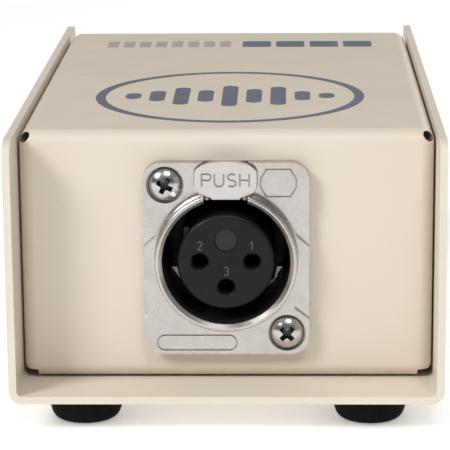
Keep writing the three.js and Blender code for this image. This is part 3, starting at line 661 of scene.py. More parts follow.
# Near-black: painted shade deep in the bores, contact holes and dimple, and the real black band of the
# resistors.
paintedShadeAndBandBlack = finish("paintedShadeAndBandBlack", {
    "colour": (0.006, 0.006, 0.006), "second": (0.009, 0.009, 0.009), "mottle": 0.004,
    "rough": (0.5, 0.65), "grain": 0.0002, "depth": 0.000006,
})
contactGold = finish("contactGold", {
    "colour": (0.6, 0.45, 0.2), "second": (0.5, 0.36, 0.15), "mottle": 0.0015,
    "rough": (0.18, 0.3), "metal": 1.0, "grain": 0.0002, "depth": 0.000002,
})
jackPlastic = finish("jackPlastic", {
    "colour": (0.018, 0.018, 0.019), "second": (0.026, 0.026, 0.027), "mottle": 0.005,
    "rough": (0.4, 0.55), "grain": 0.00014, "depth": 0.000008,
})
sliderBlack = finish("sliderBlack", {
    "colour": (0.015, 0.015, 0.016), "second": (0.022, 0.022, 0.023), "mottle": 0.003,
    "rough": (0.28, 0.4), "grain": 0.0001, "depth": 0.000004,
})
solderMask = finish("solderMask", {
    "colour": (0.012, 0.11, 0.05), "second": (0.016, 0.13, 0.06), "mottle": 0.006,
    "rough": (0.24, 0.34), "grain": 0.0004, "depth": 0.000006, "sockets": {"Coat Weight": 0.3},
})
boardTrack = finish("boardTrack", {
    "colour": (0.03, 0.19, 0.075), "second": (0.035, 0.21, 0.085), "mottle": 0.004,
    "rough": (0.22, 0.32), "grain": 0.0003, "depth": 0.000006, "sockets": {"Coat Weight": 0.3},
})
solderTin = finish("solderTin", {
    "colour": (0.68, 0.68, 0.66), "second": (0.55, 0.55, 0.54), "mottle": 0.0012,
    "rough": (0.2, 0.4), "metal": 1.0, "grain": 0.0003, "depth": 0.00001,
})
spacerBrass = finish("spacerBrass", {
    "colour": (0.72, 0.55, 0.26), "second": (0.62, 0.45, 0.2), "mottle": 0.002,
    "rough": (0.2, 0.34), "metal": 1.0, "grain": 0.0003, "depth": 0.000003, "stretch": (1, 1, 0.15),
})
coreSteel = finish("coreSteel", {
    "colour": (0.3, 0.29, 0.28), "second": (0.2, 0.17, 0.15), "mottle": 0.0025,
    "rough": (0.35, 0.55), "metal": 1.0, "grain": 0.0002, "depth": 0.000006,
})
bobbinNylon = finish("bobbinNylon", {
    "colour": (0.5, 0.42, 0.28), "second": (0.55, 0.47, 0.32), "mottle": 0.004,
    "rough": (0.4, 0.5), "grain": 0.0002, "depth": 0.000006,
    "sockets": {"Subsurface Weight": 0.08, "Subsurface Scale": 0.001},
})
windingTape = finish("windingTape", {
    "colour": (0.72, 0.46, 0.05), "second": (0.62, 0.36, 0.03), "mottle": 0.003,
    "rough": (0.2, 0.34), "grain": 0.0005, "depth": 0.00002, "stretch": (1, 1, 0.25),
    "sockets": {"Coat Weight": 0.4},
})
copperWire = finish("copperWire", {
    "colour": (0.62, 0.25, 0.1), "second": (0.5, 0.17, 0.07), "mottle": 0.002,
    "rough": (0.2, 0.3), "metal": 1.0, "grain": 0.0003, "depth": 0.000003,
})
resistorLacquer = finish("resistorLacquer", {
    "colour": (0.55, 0.42, 0.24), "second": (0.6, 0.47, 0.28), "mottle": 0.002,
    "rough": (0.25, 0.4), "grain": 0.0003, "depth": 0.00001, "sockets": {"Coat Weight": 0.4},
})
bandBrown = finish("bandBrown", {
    "colour": (0.09, 0.03, 0.012), "second": (0.12, 0.04, 0.018), "mottle": 0.002,
    "rough": (0.25, 0.4), "grain": 0.0003, "depth": 0.00001,
})
capacitorRed = finish("capacitorRed", {
    "colour": (0.38, 0.035, 0.025), "second": (0.43, 0.045, 0.03), "mottle": 0.004,
    "rough": (0.28, 0.4), "grain": 0.0003, "depth": 0.000012,
    "edge": (0.5, 0.09, 0.07), "edgeFromTo": (0.53, 0.6),
})


def sleeving(name, colour):
    return finish(name, {
        "colour": colour, "second": tuple(0.8 * c for c in colour), "mottle": 0.002,
        "rough": (0.38, 0.5), "grain": 0.0003, "depth": 0.000008,
    })


blackSleeving = sleeving("blackSleeving", (0.02, 0.02, 0.021))
redSleeving = sleeving("redSleeving", (0.45, 0.03, 0.02))
whiteSleeving = sleeving("whiteSleeving", (0.72, 0.7, 0.66))
print("materials made")

# The sleeve: one folded sheet, open at the top and at both ends.
sleeve = {"sheet": 1.2, "bend": 2.0, "tipRadius": 3.2, "tipSteps": 10, "edge": 0.26, "screwHole": 1.7}


def makeSleeve():
    low, high = nodeBox("outer_sleeve")
    sheet, bend, tip = sleeve["sheet"], sleeve["bend"], sleeve["tipRadius"]
    wall = []  # (height, how far the end stands back)
    for i in range(sleeve["tipSteps"] + 1):
        angle = math.radians(90 * i / sleeve["tipSteps"])
        wall.append((high.z - tip + tip * math.sin(angle), tip * (1 - math.cos(angle))))
    left, right = (low.x + bend, low.z + bend), (high.x - bend, low.z + bend)

    def folds(radius):
        return arc(left, radius, 180, 270) + arc(right, radius, 270, 360)

    rows = []  # (outer x, outer z, inner x, inner z, how far the end stands back)
    for z, inset in reversed(wall):
        rows.append((low.x, z, low.x + sheet, z, inset))
    for outer, inner in zip(folds(bend), folds(bend - sheet)):
        rows.append((*outer, *inner, 0))
    for z, inset in wall:
        rows.append((high.x, z, high.x - sheet, z, inset))
    vertices, faces = [], []
    for ox, oz, ix, iz, inset in rows:
        front, rear = low.y + inset, high.y - inset
        vertices += [(ox, front, oz), (ox, rear, oz), (ix, rear, iz), (ix, front, iz)]
    for i in range(len(rows) - 1):
        a, b = 4 * i, 4 * i + 4
        faces += [[a + k, a + (k + 1) % 4, b + (k + 1) % 4, b + k] for k in range(4)]
    faces += [[0, 1, 2, 3], [4 * len(rows) - 4 + k for k in range(4)]]
    piece = meshObject("sleeve", vertices, faces)
    carve(piece, *cornerHoles("case_screw", sleeve["screwHole"], low.z - past, low.z + sheet + past))
    soften(piece, sleeve["edge"], 3)
    complete(piece, "sleeve_sheet", sleevePaint, "case", ["outer_sleeve"])


makeSleeve()

# The chassis: top, end panels and return flanges, folded from one sheet.
chassis = {
    "sheet": 1.2,
    "bend": 2.3,
    "flange": 18,
    "notch": (2.3, 1.3),
    "relief": 0.92,
    "slit": 0.48,
    "edge": 0.16,
    "screwHole": 1.6,
    "barrelGap": 0.3,
    "bushingGap": 0.2,
    "windowGap": 0.4,
}


def roundedBox(low, high, radius, segments):
    piece = block(low, high)
    return soften(piece, radius, segments, 40, False)


def makeChassis():
    low, high = nodeBox("inner_chassis")
    sheet, bend, flange = chassis["sheet"], chassis["bend"], chassis["flange"]
    inset = Vector((sheet, sheet, sheet))
    piece = roundedBox(low, high, bend, 8)
    openLow = (low.x - past, low.y + flange, low.z - past)
    openHigh = (high.x + past, high.y - flange, high.z - flange)
    carve(piece, roundedBox(low + inset, high - inset, bend - sheet, 5), block(openLow, openHigh))
    tools = cornerHoles("board_screw", chassis["screwHole"], low.z - past, low.z + sheet + past)
    wide, tall = chassis["notch"]
    for near, far in ((low.x - past, low.x + wide), (high.x - wide, high.x + past)):
        tools.append(block((near, low.y - past, low.z - past), (far, high.y + past, low.z + tall)))
    front = (low.y - past, low.y + sheet + 1.5 * past)
    rear = (high.y - sheet - 1.5 * past, high.y + past)
    spot = middle("socket_shell")
    tools.append(rod(socket["barrel"] + chassis["barrelGap"], *front, "y", (spot.x, 0, spot.z), 96))
    for name in ("upper", "lower"):
        spot = middle("socket_nut_" + name)
        tools.append(rod(chassis["screwHole"], *front, "y", (spot.x, 0, spot.z)))
    for jackName in ("input", "thru"):
        spot = middle(jackName + "_jack_nut")
        tools.append(rod(jack["bushing"] + chassis["bushingGap"], *rear, "y", (spot.x, 0, spot.z), 64))
    for switchName in ("lift", "pad"):
        spot = middle(switchName + "_switch_frame")
        wide = slideSwitch["knob"][0] + slideSwitch["travel"] + 2 * chassis["windowGap"]
        tall = slideSwitch["knob"][1] + 2 * chassis["windowGap"]
        outline = roundedRectangle(wide, tall, 0.4, (spot.x, spot.z), 4)
        tools.append(prism(outline, *rear))
        for side in ("left", "right"):
            spot = middle(f"{switchName}_switch_screw_{side}")
            tools.append(rod(slideSwitch["screwHole"], *rear, "y", (spot.x, 0, spot.z)))
    carve(piece, *tools)
    soften(piece, chassis["edge"], 2)
    carve(piece, *cornerReliefs(low, high))
    complete(piece, "chassis_sheet", chassisPaint, "case", ["inner_chassis"])
    centre = (low + high) / 2
    away = (high - low) / 2 - Vector((bend, bend, bend))
    axis = Vector((1, 1, 1)).normalized()

    def insideRelief(spot, normal):
        part = Vector([abs(v) for v in spot - centre]) - away
        nearAxis = (part - axis * part.dot(axis)).length < chassis["relief"] + 0.02
        return spot.z > centre.z and nearAxis and part.length < 2 * bend

    # Painted shade on the faces inside each upper corner relief hole.
    paintFaces(piece, reliefPaintedShade, insideRelief)


# At each upper corner, a round hole where three folds meet and a mitred slit down the side.
def cornerReliefs(low, high):
    tools = []
    bend, flange = chassis["bend"], chassis["flange"]
    for sx in (-1, 1):
        for sy in (-1, 1):
            edgeX, edgeY = (high.x if sx > 0 else low.x), (high.y if sy > 0 else low.y)
            centre = Vector((edgeX - sx * bend, edgeY - sy * bend, high.z - bend))
            hole = rod(chassis["relief"], 0, 3 * bend, "z", (0, 0, 0), 24)
            lean = Vector((0, 0, 1)).rotation_difference(Vector((sx, sy, 1)).normalized())
            hole.data.transform(Matrix.Translation(centre) @ lean.to_matrix().to_4x4())
            tools.append(hole)
            length, half = math.sqrt(2) * (flange + 2), chassis["slit"] / 2
            ends = sorted((edgeX - sx * (bend + 0.5) / 2, edgeX + sx))
            slit = block((ends[0], -length, -half), (ends[1], 0, half))
            turn = Matrix.Rotation(math.radians(90 - 45 * sy), 4, "X")
            slit.data.transform(Matrix.Translation((0, edgeY, high.z)) @ turn)
            tools.append(slit)
    return tools


# The openings in the end panels follow the socket, the jacks and the switches.
socket = {
    "flangeCorner": 2.8,
    "flangeThick": 2.0,
    "ring": 11.2,
    "bore": 10.05,
    "lip": 0.55,
    "barrel": 11.7,
    "floor": 15.0,
    "backHole": 8.05,
    "recess": (2.95, 0.7),
    "pocketDepth": 0.34,
    "pocketSlope": 0.42,
    "pocketIn": 2.3,
    "pockets": ((8.8, 7.35, 4.4, 2.1), (-2.65, -4.25, -7.7, -9.3)),
    "slot": (3.45, 2.3, 12.3),
    "edge": 0.14,
    "screwHole": 1.6,
    "pinHole": (0.56, 4.2),
    "groove": 0.24,
    "grooveDeep": 0.24,
}
jack = {
    "bushing": 4.7,
    "bore": 3.25,
    "pitch": 0.8,
    "threadDepth": 0.35,
    "chamfer": 1.0,
    "roomWidth": 4.4,
    "threadRows": 58,
    "vent": (6, 2.5, 3.2),
    "vents": 3,
    "ventPitch": 5,
    "clear": 0.15,
    "leaf": 0.5,
}
slideSwitch = {
    "knob": (3.4, 3.0),
    "travel": 3.6,
    "screwHole": 1.35,
    "plate": 0.8,
    "housing": (15.0, 7.3),
    "room": (4.8, 2.3, 4.2),
    "pitch": 19.2,
    "carrier": 3.6,
    "rib": 0.3,
    "ribs": 5,
    "rivet": (5.2, 0.9, 0.25),
    "spin": {"left": 18, "right": 64},
}
makeChassis()
print("sheet metal made")


# The print on the top: a ring with level bars in it, and a row of plain blocks near the far edge.
topPrint = {
    "ringOuter": 22.5,
    "ringInner": 20.85,
    "ringBehind": 29.0,
    "ink": 0.02,
    "barWidth": 2.6,
    "barPitch": 4.05,
    "bars": (5.0, 9.0, 15.0, 10.0, 18.0, 12.0, 16.0, 8.0, 4.5),
    "rowBehind": 81.0,
    "rowDepth": 6.4,
    "darkBlocks": (1.2, 25.6, 4, 1.0),
    "paleBlocks": (-24.4, -1.0, 8, 0.9),
}


def makePrint():
    low, high = nodeBox("inner_chassis")
    base, top = high.z - 0.02, high.z + topPrint["ink"]
    centreY = low.y + topPrint["ringBehind"]
    outer, inner = topPrint["ringOuter"], topPrint["ringInner"]
    ring = turned([(inner, base), (outer, base), (outer, top), (inner, top)], "z", (0, centreY, 0), 160)
    parts = [ring]
    first = -topPrint["barPitch"] * (len(topPrint["bars"]) - 1) / 2
    for i, tall in enumerate(topPrint["bars"]):
        wide = topPrint["barWidth"]
        spot = (first + i * topPrint["barPitch"], centreY)
        parts.append(prism(roundedRectangle(wide, tall, wide / 2 - 0.01, spot), base, top, "z"))
    rowY = low.y + topPrint["rowBehind"]

    def blocks(start, end, count, gap):
        wide = (end - start - gap * (count - 1)) / count
        made = []
        for i in range(count):
            spot = (start + wide / 2 + i * (wide + gap), rowY)
            made.append(prism(roundedRectangle(wide, topPrint["rowDepth"], 0.5, spot, 4), base, top, "z"))
        return made

    complete(gather(*parts, *blocks(*topPrint["darkBlocks"])), "top_print_dark", printInk, "case", [])
    complete(gather(*blocks(*topPrint["paleBlocks"])), "top_print_pale", paleInk, "case", [])


makePrint()

# Domed rubber feet.
foot = {"flat": 3.9, "rim": 0.45, "gate": 0.9, "gateDeep": 0.25, "square": 0.72}


def makeFeet():
    low, high = nodeBox("foot_front_left")
    radius, height = (high.x - low.x) / 2, high.z - low.z
    flat = foot["flat"]
    gate, deep = foot["gate"], foot["gateDeep"]
    profile = [(0, deep), (gate - 0.2, deep), (gate, 0), (flat, 0)]
    for i in range(1, 13):
        angle = math.radians(90 * i / 12)
        out, up = math.sin(angle) ** foot["square"], 1 - abs(math.cos(angle)) ** foot["square"]
        profile.append((flat + (radius - flat) * out, (height - foot["rim"]) * up))
    profile += [(radius, height), (0, height)]
    source = turned(profile, "z", (0, 0, 0), 64)
    nodes = atCorners("foot")
    completeSet(source, placesAt(nodes, z=0), "rubber_feet", footRubber, nodes)


makeFeet()

# The socket. Its pieces are made round (0, 0, 0) and moved to the socket's centre on the panel.
def socketOrigin():
    centre = middle("socket_shell")
    return centre.x, nodeBox("inner_chassis")[0].y, centre.z


def makeSocketShell():
    x, panel, z = socketOrigin()
    low, high = nodeBox("socket_shell")
    wide, tall = high.x - low.x, high.z - low.z
    seat = -0.05
    front = seat - socket["flangeThick"]
    lipFront, back = low.y - panel, high.y - panel
    flange = prism(roundedRectangle(wide, tall, socket["flangeCorner"]), front, seat)
    tools = [rod(socket["bore"] + 0.5, front - 1, 1, sides=96)]
    for outlineOf in (pillOutline, badgeOutline):
        groove = prism(outlineOf(socket["groove"]), front - past, front + socket["grooveDeep"])
        tools.append(carve(groove, prism(outlineOf(0), front - 2 * past, front + past)))
    recess, recessDepth = socket["recess"]
    for name in ("upper", "lower"):
        spot = middle("socket_nut_" + name)
        centre = (spot.x - x, 0, spot.z - z)
        tools.append(rod(socket["screwHole"], front - past, past, centre=centre))
        tools.append(rod(recess, front - past, front + recessDepth, centre=centre, sides=48))
    inner, slope, deep = wide / 2 - socket["pocketIn"], socket["pocketSlope"], socket["pocketDepth"]
    for sign in (-1, 1):
        for heights in socket["pockets"]:

            def outline(drop):
                top, innerTop, innerLow, low = heights
                outer = wide / 2 + 2 * past
                points = [
                    (outer, top + 1.3), (inner, innerTop), (inner, innerLow - drop),
                    (outer, low - 2 * drop - 1.6),
                ]
                return [(sign * a, b) for a, b in points]

            mouth = (outline(slope * (1 + past / deep)), front - past)
            tools.append(loft([mouth, (outline(0), front + deep)], "y"))
    tools.append(prism(tabOutline(latch["gap"]), front - 3, seat - 0.7))
    carve(flange, *tools)
    soften(flange, socket["edge"], 2)
    ring, bore, lip = socket["ring"], socket["bore"], socket["lip"]
    edge = arc((ring - 0.4, lipFront + 0.4), 0.4, 0, -90, 5)
    profile = [(ring + 0.45, front + 0.3), (ring + 0.45, front - 0.02)]
    profile += [(ring + 0.12, front - 0.12), (ring, front - 0.45)] + edge
    profile += [(bore + lip, lipFront), (bore + 0.1, lipFront + lip * 0.8), (bore, lipFront + lip)]
    profile += [(bore, socket["floor"]), (socket["backHole"], socket["floor"]), (socket["backHole"], back)]
    profile += arc((socket["barrel"] - 0.5, back - 0.5), 0.5, 90, 0, 4) + [(socket["barrel"], front + 0.6)]
    body = turned(profile, sides=128)
    weld(body, flange)
    pinSpot = middle("latch_pin")
    half, slotBack, slotTop = socket["slot"]
    slot = block((-half, lipFront - past, bore - 1.6), (half, slotBack, slotTop))
    radius, reach = socket["pinHole"]
    carve(body, slot, rod(radius, -reach, reach, "x", (0, pinSpot.y - panel, pinSpot.z - z), 16))
    moved(body, x, panel, z)
    shell = complete(body, "socket_casting", satinNickel, "case", ["socket_shell"])

    def insideBore(spot, normal):
        far = math.hypot(spot.x - x, spot.z - z)
        return far < bore + 0.15 and spot.y > panel + lipFront + 1.3

    # Painted shade deep inside the bore of the shell.
    paintFaces(shell, paintedShadeAndBandBlack, insideBore)
    grooveFloor = panel + front + socket["grooveDeep"]

    def onGrooveFloor(spot, normal):
        return abs(spot.y - grooveFloor) < 0.03 and abs(normal.y) > 0.9

    # Painted shade on the floors of the grooves round the name places.
    paintFaces(shell, hollowPaintedShade, onGrooveFloor)
    seats = [middle("socket_nut_" + name).xz for name in ("upper", "lower")]

    def inScrewSeat(spot, normal):
        near = min((spot.xz - seatSpot).length for seatSpot in seats)
        return spot.y > panel + front + 0.1 and near < recess + 0.02

    # Painted shade in the screw seats round the flange screws.
    paintFaces(shell, hollowPaintedShade, inScrewSeat)


# Two blank name places, each inside a groove.
def pillOutline(grow):
    return roundedRectangle(12.3 + 2 * grow, 2.2 + 2 * grow, 1.05 + grow, (-4.7, -13.6), 6)


def badgeOutline(grow):
    return cutRectangle(2.65 + grow, 2.05 + grow, 0.9, 1.35 + grow, (8.2, 12.3))


# The latch: an arched tab, a neck that reaches the bore, and a lug on the pin behind.
latch = {
    "thick": 1.2,
    "shoulder": 1.9,
    "corner": 1.9,
    "neck": 2.4,
    "neckEnd": 10.12,
    "gap": 0.12,
    "edge": 0.26,
    "letter": (1.45, 2.0),
    "spacing": 1.98,
    "stroke": 0.28,
    "deep": 0.26,
    "ear": (2.95, 10.1, 0.5),
    "lug": (2.2, 0.9),
    "pinHole": (0.6, 4),
}


def tabOutline(grow=0.0):
    low, high = nodeBox("socket_latch")
    z = middle("socket_shell").z
    half, top, bottom = (high.x - low.x) / 2 + grow, high.z - z + grow, socket["bore"] + 0.3 - grow
    corner, shoulder = latch["corner"], high.z - z - latch["shoulder"]
    arch = [(half * a, shoulder + (top - shoulder) * b) for a, b in arc((0, 0), 1, 10, 170, 16)]
    return [
        (latch["neck"] + grow, bottom - 0.05),
        *arc((half - corner, bottom + corner + 0.15), corner, -68, 0, 6),
        (half, shoulder), *arch, (-half, shoulder),
        *arc((-half + corner, bottom + corner + 0.15), corner, 180, 248, 6),
        (-latch["neck"] - grow, bottom - 0.05),
    ]


def letterStrokes(letter):
    wide, tall = latch["letter"]
    w, t = wide / 2, tall / 2
    if letter == "P":
        bowl = [(-w, t)] + arc((0.3 * w, t / 2), t / 2, 90, -90, 8) + [(-w, 0)]
        return [[(-w, -t), (-w, t)], bowl]
    if letter == "U":
        return [[(-w, t)] + arc((0, -t + w), w, 180, 360, 10) + [(w, t)]]
    if letter == "S":
        upper = arc((0, 0.5 * t), 0.5 * t, 40, 270, 9)
        lower = arc((0, -0.5 * t), 0.5 * t, 90, -140, 9)
        return [[(1.25 * a, b) for a, b in upper + lower[1:]]]
    return [[(-w, -t), (-w, t)], [(w, -t), (w, t)], [(-w, 0), (w, 0)]]


def makeLatch():
    x, panel, z = socketOrigin()
    low, high = nodeBox("socket_latch")
    front = low.y - panel
    back = front + latch["thick"]
    top, bottom = high.z - z, socket["bore"] + 0.3
    tab = prism(tabOutline(), front, back)
    end = latch["neckEnd"]
    neck = block((0.05 - latch["neck"], front, end), (latch["neck"] - 0.05, back, bottom + 1))
    pin = middle("latch_pin")
    half, tall = latch["lug"]
    lug = block((-half, back - 0.3, pin.z - z - tall), (half, high.y - panel, pin.z - z + tall))
    weld(tab, neck)
    soften(tab, latch["edge"], 3)
    ears = []
    across, up, size = latch["ear"]
    for sign in (-1, 1):
        nose = [(0, front + 0.3), (size - 0.2, front + 0.35), (size, front + 0.6)]
        profile = nose + [(size, back), (0, back)]
        ears.append(turned(profile, centre=(sign * across, 0, up), sides=24))
    weld(tab, lug, *ears)
    letters = []
    width = latch["spacing"]
    for i, letter in enumerate("PUSH"):
        for stroke in letterStrokes(letter):
            spread = [(a + (i - 1.5) * width, b + (top + bottom) / 2 - 0.12) for a, b in stroke]
            outline = ribbonOutline(spread, latch["stroke"])
            letters.append(prism(outline, front - past / 2, front + latch["deep"]))
    radius, reach = latch["pinHole"]
    carve(tab, *letters, rod(radius, -reach, reach, "x", (0, pin.y - panel, pin.z - z), 20))
    moved(tab, x, panel, z)
    complete(tab, "latch_tab", latchNickel, "latch", ["socket_latch"])
    floorOfLetters = panel + front + latch["deep"]

    def onEar(spot, normal):
        return abs(spot.x - x) > latch["neck"] + 0.05 and spot.z - z < bottom

    def inLetter(spot, normal):
        return abs(spot.y - floorOfLetters) < 0.05 and spot.z - z > bottom + 0.5

    # Painted reflection tone on the ears beside the neck.
    paintFaces(tab, paintedReflectionTan, onEar)
    # Painted shade on the floors of the stamped letters.
    paintFaces(tab, hollowPaintedShade, inLetter)


makeSocketShell()
makeLatch()

# The insert, with three numbered contact holes and a round dimple.
insert = {
    "radius": 7.65,
    "edge": 0.7,
    "hole": 1.32,
    "chamfer": 0.22,
    "dimple": (1.87, 3.5, 0.28),
    "digitTall": 1.3,
    "stroke": 0.22,
    "rise": 0.15,
    "digitAbove": 2.67,
    "collar": 2.4,
    "fin": (-6.15, 5.1, 0.9, 1.6),
    "finBack": 0.8,
}


def digitStrokes(digit):
    t = insert["digitTall"] / 2
    if digit == 1:
        return [[(-0.55 * t, 0.5 * t), (0, t)], [(0, 1.1 * t), (0, -t)]]
    if digit == 2:
        hook = arc((0, 0.45 * t), 0.55 * t, 160, -30, 8) + [(-0.5 * t, -0.95 * t)]
        return [hook, [(-0.65 * t, -t), (0.65 * t, -t)]]
    return [arc((0, 0.48 * t), 0.5 * t, 150, -80, 8), arc((0, -0.48 * t), 0.54 * t, 80, -150, 8)]


def makeInsert():
    x, panel, z = socketOrigin()
    low, high = nodeBox("socket_insert")
    face, back = low.y - panel, high.y - panel
    radius, edge = insert["radius"], insert["edge"]
    collar = (high.x - low.x) / 2
    seat = socket["floor"] - 0.05
    profile = [(0, face)] + arc((radius - edge, face + edge), edge, -90, 0, 6)
    profile += [(radius, seat - insert["collar"]), (collar, seat - insert["collar"]), (collar, seat)]
    profile += [(radius, seat), (radius, back), (0, back)]
    body = turned(profile, sides=112)
    across, up, wide, tall = insert["fin"]
    crown = arc((across, up), wide / 2, 0, 180, 10)
    fin = [(across + wide / 2, up - tall), *crown, (across - wide / 2, up - tall)]
    weld(body, prism(fin, face + insert["finBack"], seat - 1))
    digits, holes = [], []
    for number in (1, 2, 3):
        spot = middle(f"socket_contact_{number}")
        a, b = spot.x - x, spot.z - z
        r, c = insert["hole"], insert["chamfer"]
        profile = [(0, face - past), (r + c + past, face - past), (r, face + c)]
        profile += [(r, back + past), (0, back + past)]
        holes.append(turned(profile, centre=(a, 0, b)))
        for stroke in digitStrokes(number):
            line = [(a + p, b + q + insert["digitAbove"]) for p, q in stroke]
            digits.append(prism(ribbonOutline(line, insert["stroke"]), face - insert["rise"], face + 0.3))
    wide, up, deep = insert["dimple"]
    profile = [(0, face - past), (wide + 0.1, face - past), (wide, face + 0.1)]
    profile += [(wide - 0.12, face + deep), (0, face + deep)]
    weld(body, *digits)
    carve(body, *holes, turned(profile, centre=(0, 0, up)))
    moved(body, x, panel, z)
    complete(body, "contact_insert", insertPlastic, "case", ["socket_insert"])
    # Painted highlight on the faces standing in front of the insert face: the tops of the digits.
    paintFaces(body, digitPaintedHighlight, lambda spot, normal: spot.y < panel + face - 0.02)
    across = insert["hole"] + 0.02

    def insideHole(spot, normal):
        near = min((spot - middle(f"socket_contact_{n}")).xz.length for n in (1, 2, 3))
        return near < across and spot.y > panel + face + 0.5

    def inDimple(spot, normal):
        return spot.y > panel + face + deep - 0.05 and (spot.xz - Vector((x, z + up))).length < wide

    # Painted shade inside the contact holes and the dimple.
    paintFaces(body, paintedShadeAndBandBlack, insideHole)
    paintFaces(body, paintedShadeAndBandBlack, inDimple)


makeInsert()


# Contacts: a slotted sleeve in front and a solder cup behind.
contact = {
    "mouth": 6,
    "bore": (0.85, 8),
    "slot": (0.14, 5.5),
    "shoulder": 19.6,
    "cup": (0.25, 2),
    "spin": 25,
}


def makeContacts():
    x, panel, z = socketOrigin()
    low, high = nodeBox("socket_contact_1")
    front, back, radius = low.y - panel, high.y - panel, (high.x - low.x) / 2
    mouth, shoulder = front + contact["mouth"], contact["shoulder"]
    (bore, boreEnd), (slot, slotDeep), (wall, cupDeep) = contact["bore"], contact["slot"], contact["cup"]
    source = turned([
        (0, boreEnd), (bore - 0.05, boreEnd), (bore, boreEnd - 0.2),
        (bore, mouth + 0.35), (bore + 0.2, mouth), (radius - 0.1, mouth), (radius, mouth + 0.15),
        (radius, shoulder), (radius - wall, shoulder + 0.1), (radius - wall, back),
        (radius - 2 * wall, back), (radius - 2 * wall - 0.05, back - cupDeep), (0, back - cupDeep),
    ], sides=32)
    wide = 2 * radius
    sawCut = block((-wide, mouth - past, -slot), (wide, mouth + slotDeep, slot))
    carve(source, sawCut, block((-wide, back - cupDeep + 0.2, 0), (wide, back + past, wide)))
    nodes = [f"socket_contact_{number}" for number in (1, 2, 3)]
    places = []
    for i, (place, turn) in enumerate(placesAt(nodes, y=panel)):
        places.append((place, (0, contact["spin"] * (i + 1), 0)))
    completeSet(source, places, "socket_contacts", contactGold, nodes)


makeContacts()


# The ground contact: a band low in the bore, with a bent finger and a tip at each side.
groundBand = {"gap": 0.15, "thick": 0.35, "deep": 3, "span": (200, 340), "finger": (0.3, 1.6), "rise": 20}


def makeGroundSpring():
    x, panel, z = socketOrigin()
    low, high = nodeBox("ground_spring")
    front, back = low.y - panel, high.y - panel
    outer, (start, end) = socket["bore"] - groundBand["gap"], groundBand["span"]
    outline = arc((0, 0), outer, start, end, 40) + arc((0, 0), outer - groundBand["thick"], end, start, 40)
    band = prism(outline, back - groundBand["deep"], back)
    fingers = []
    for sign in (-1, 1):
        path = [(outer - 0.2, back - 2.2), (outer - 0.2, back - 4.5)]
        path += [(outer - 1.15, front + 1.6), (outer - 0.75, front)]
        thick, wide = groundBand["finger"]
        finger = strip(path, thick, -wide / 2, wide / 2, "z")
        turn = groundBand["rise"] if sign > 0 else 180 - groundBand["rise"]
        fingers.append(moved(finger, turn=turn))
    for sign in (-1, 1):  # the bent tips that face the mouth of the bore
        tip = [(sign * a, b) for a, b in ((8.75, -2.3), (7.95, -2.35), (7.55, -4.2))]
        fingers.append(prism(tip, front, front + 0.4))
    weld(band, *fingers)
    moved(band, x, panel, z)
    complete(band, "ground_contact", springSteel, "case", ["ground_spring"])
    # Painted reflection tone on the tips that face the mouth of the bore.
    paintFaces(band, paintedReflectionTan, lambda spot, normal: spot.y < low.y + 0.45)


makeGroundSpring()
print("socket made")

# Cross-recess pan head screws. The head's underside is at y = 0, and the dome faces -Y.
screw = {
    "coreShare": 0.82,
    "pitch": 0.5,
    "ringsPerTurn": 6,
    "sides": 48,
    "domeAngle": 72,
    "domeSteps": 8,
    "edge": 0.3,
    "arm": 0.6,
    "slot": 0.165,
    "deep": 0.78,
}


def panScrew(radius, height, shank, length):
    profile = [(0, -height)]
    widest = math.radians(screw["domeAngle"])
    for i in range(1, screw["domeSteps"] + 1):
        angle = widest * i / screw["domeSteps"]
        rise = (math.cos(angle) - math.cos(widest)) / (1 - math.cos(widest))
        edge = screw["edge"]
        profile.append((radius * math.sin(angle) / math.sin(widest), -height * (edge + (1 - edge) * rise)))
    profile += [(radius, -0.12 * height), (radius - 0.12, 0), (shank, 0)]
    rings = max(8, round(length / screw["pitch"] * screw["ringsPerTurn"]))
    profile += [(shank, length * i / rings) for i in range(1, rings)]
    profile += [(shank - 0.2, length), (0, length)]
    body = turned(profile, sides=screw["sides"])
    runTree(body, threadTree, {
        "Pitch": screw["pitch"], "Depth": (1 - screw["coreShare"]) * shank, "Inner": 0.7 * shank,
        "Start": 0.2, "End": length - 0.05, "Finish": brightNickel,
    })
    arm, slot = screw["arm"] * radius, screw["slot"] * radius
    above, bottom = -height - 0.3, (screw["deep"] - 1) * height
    wings = []
    for turn in (0, 90):
        mouth = [(-arm, -slot), (arm, -slot), (arm, slot), (-arm, slot)]
        floor = [(0.5 * a, 0.7 * b) for a, b in mouth]
        wings.append(moved(loft([(floor, bottom), (mouth, above)], "y"), turn=turn))
    point = [(0, above), (0.27 * radius, above), (0.22 * radius, bottom), (0, bottom + 0.2)]
    carve(body, *wings, turned(point, sides=8))
    # Marks the faces inside the cross recess; complete gives them painted shade.
    marks = body.data.attributes.new("recess", "BOOLEAN", "FACE")
    for face in body.data.polygons:
        spot = face.center
        steep = abs(face.normal.y) < 0.7 or spot.y > -0.5 * height
        marks.data[face.index].value = steep and spot.xz.length < 0.64 * radius and spot.y < -0.1 * height
    return body


def hexagonNut(flats, hole, low, high, chamfer=0.35):
    nut = prism(hexagonOutline(flats), low, high)
    point = flats / math.sqrt(3)
    middleY = (low + high) / 2
    cone = [(0, low), (point - 1.7 * chamfer, low), (point + 0.3, low + chamfer)]
    combine(nut, [turned(mirrored(cone, middleY), sides=64)], "INTERSECT")
    bore = [(0, low - past), (hole + 1.3, low - past), (hole, low + 0.3)]
    return carve(nut, turned(mirrored(bore, middleY), sides=48))


# Screw sizes are (head radius, head height) and shank radius.
fixing = {
    "head": (2.65, 1.7),
    "shank": 1.45,
    "smallHead": (2.2, 1.3),
    "smallShank": 1.2,
    "hole": 1.45,
    "gap": 0.05,
    "flangeNut": (5.5, 1.5),
    "flangeTurns": {"upper": 27, "lower": -45},
}


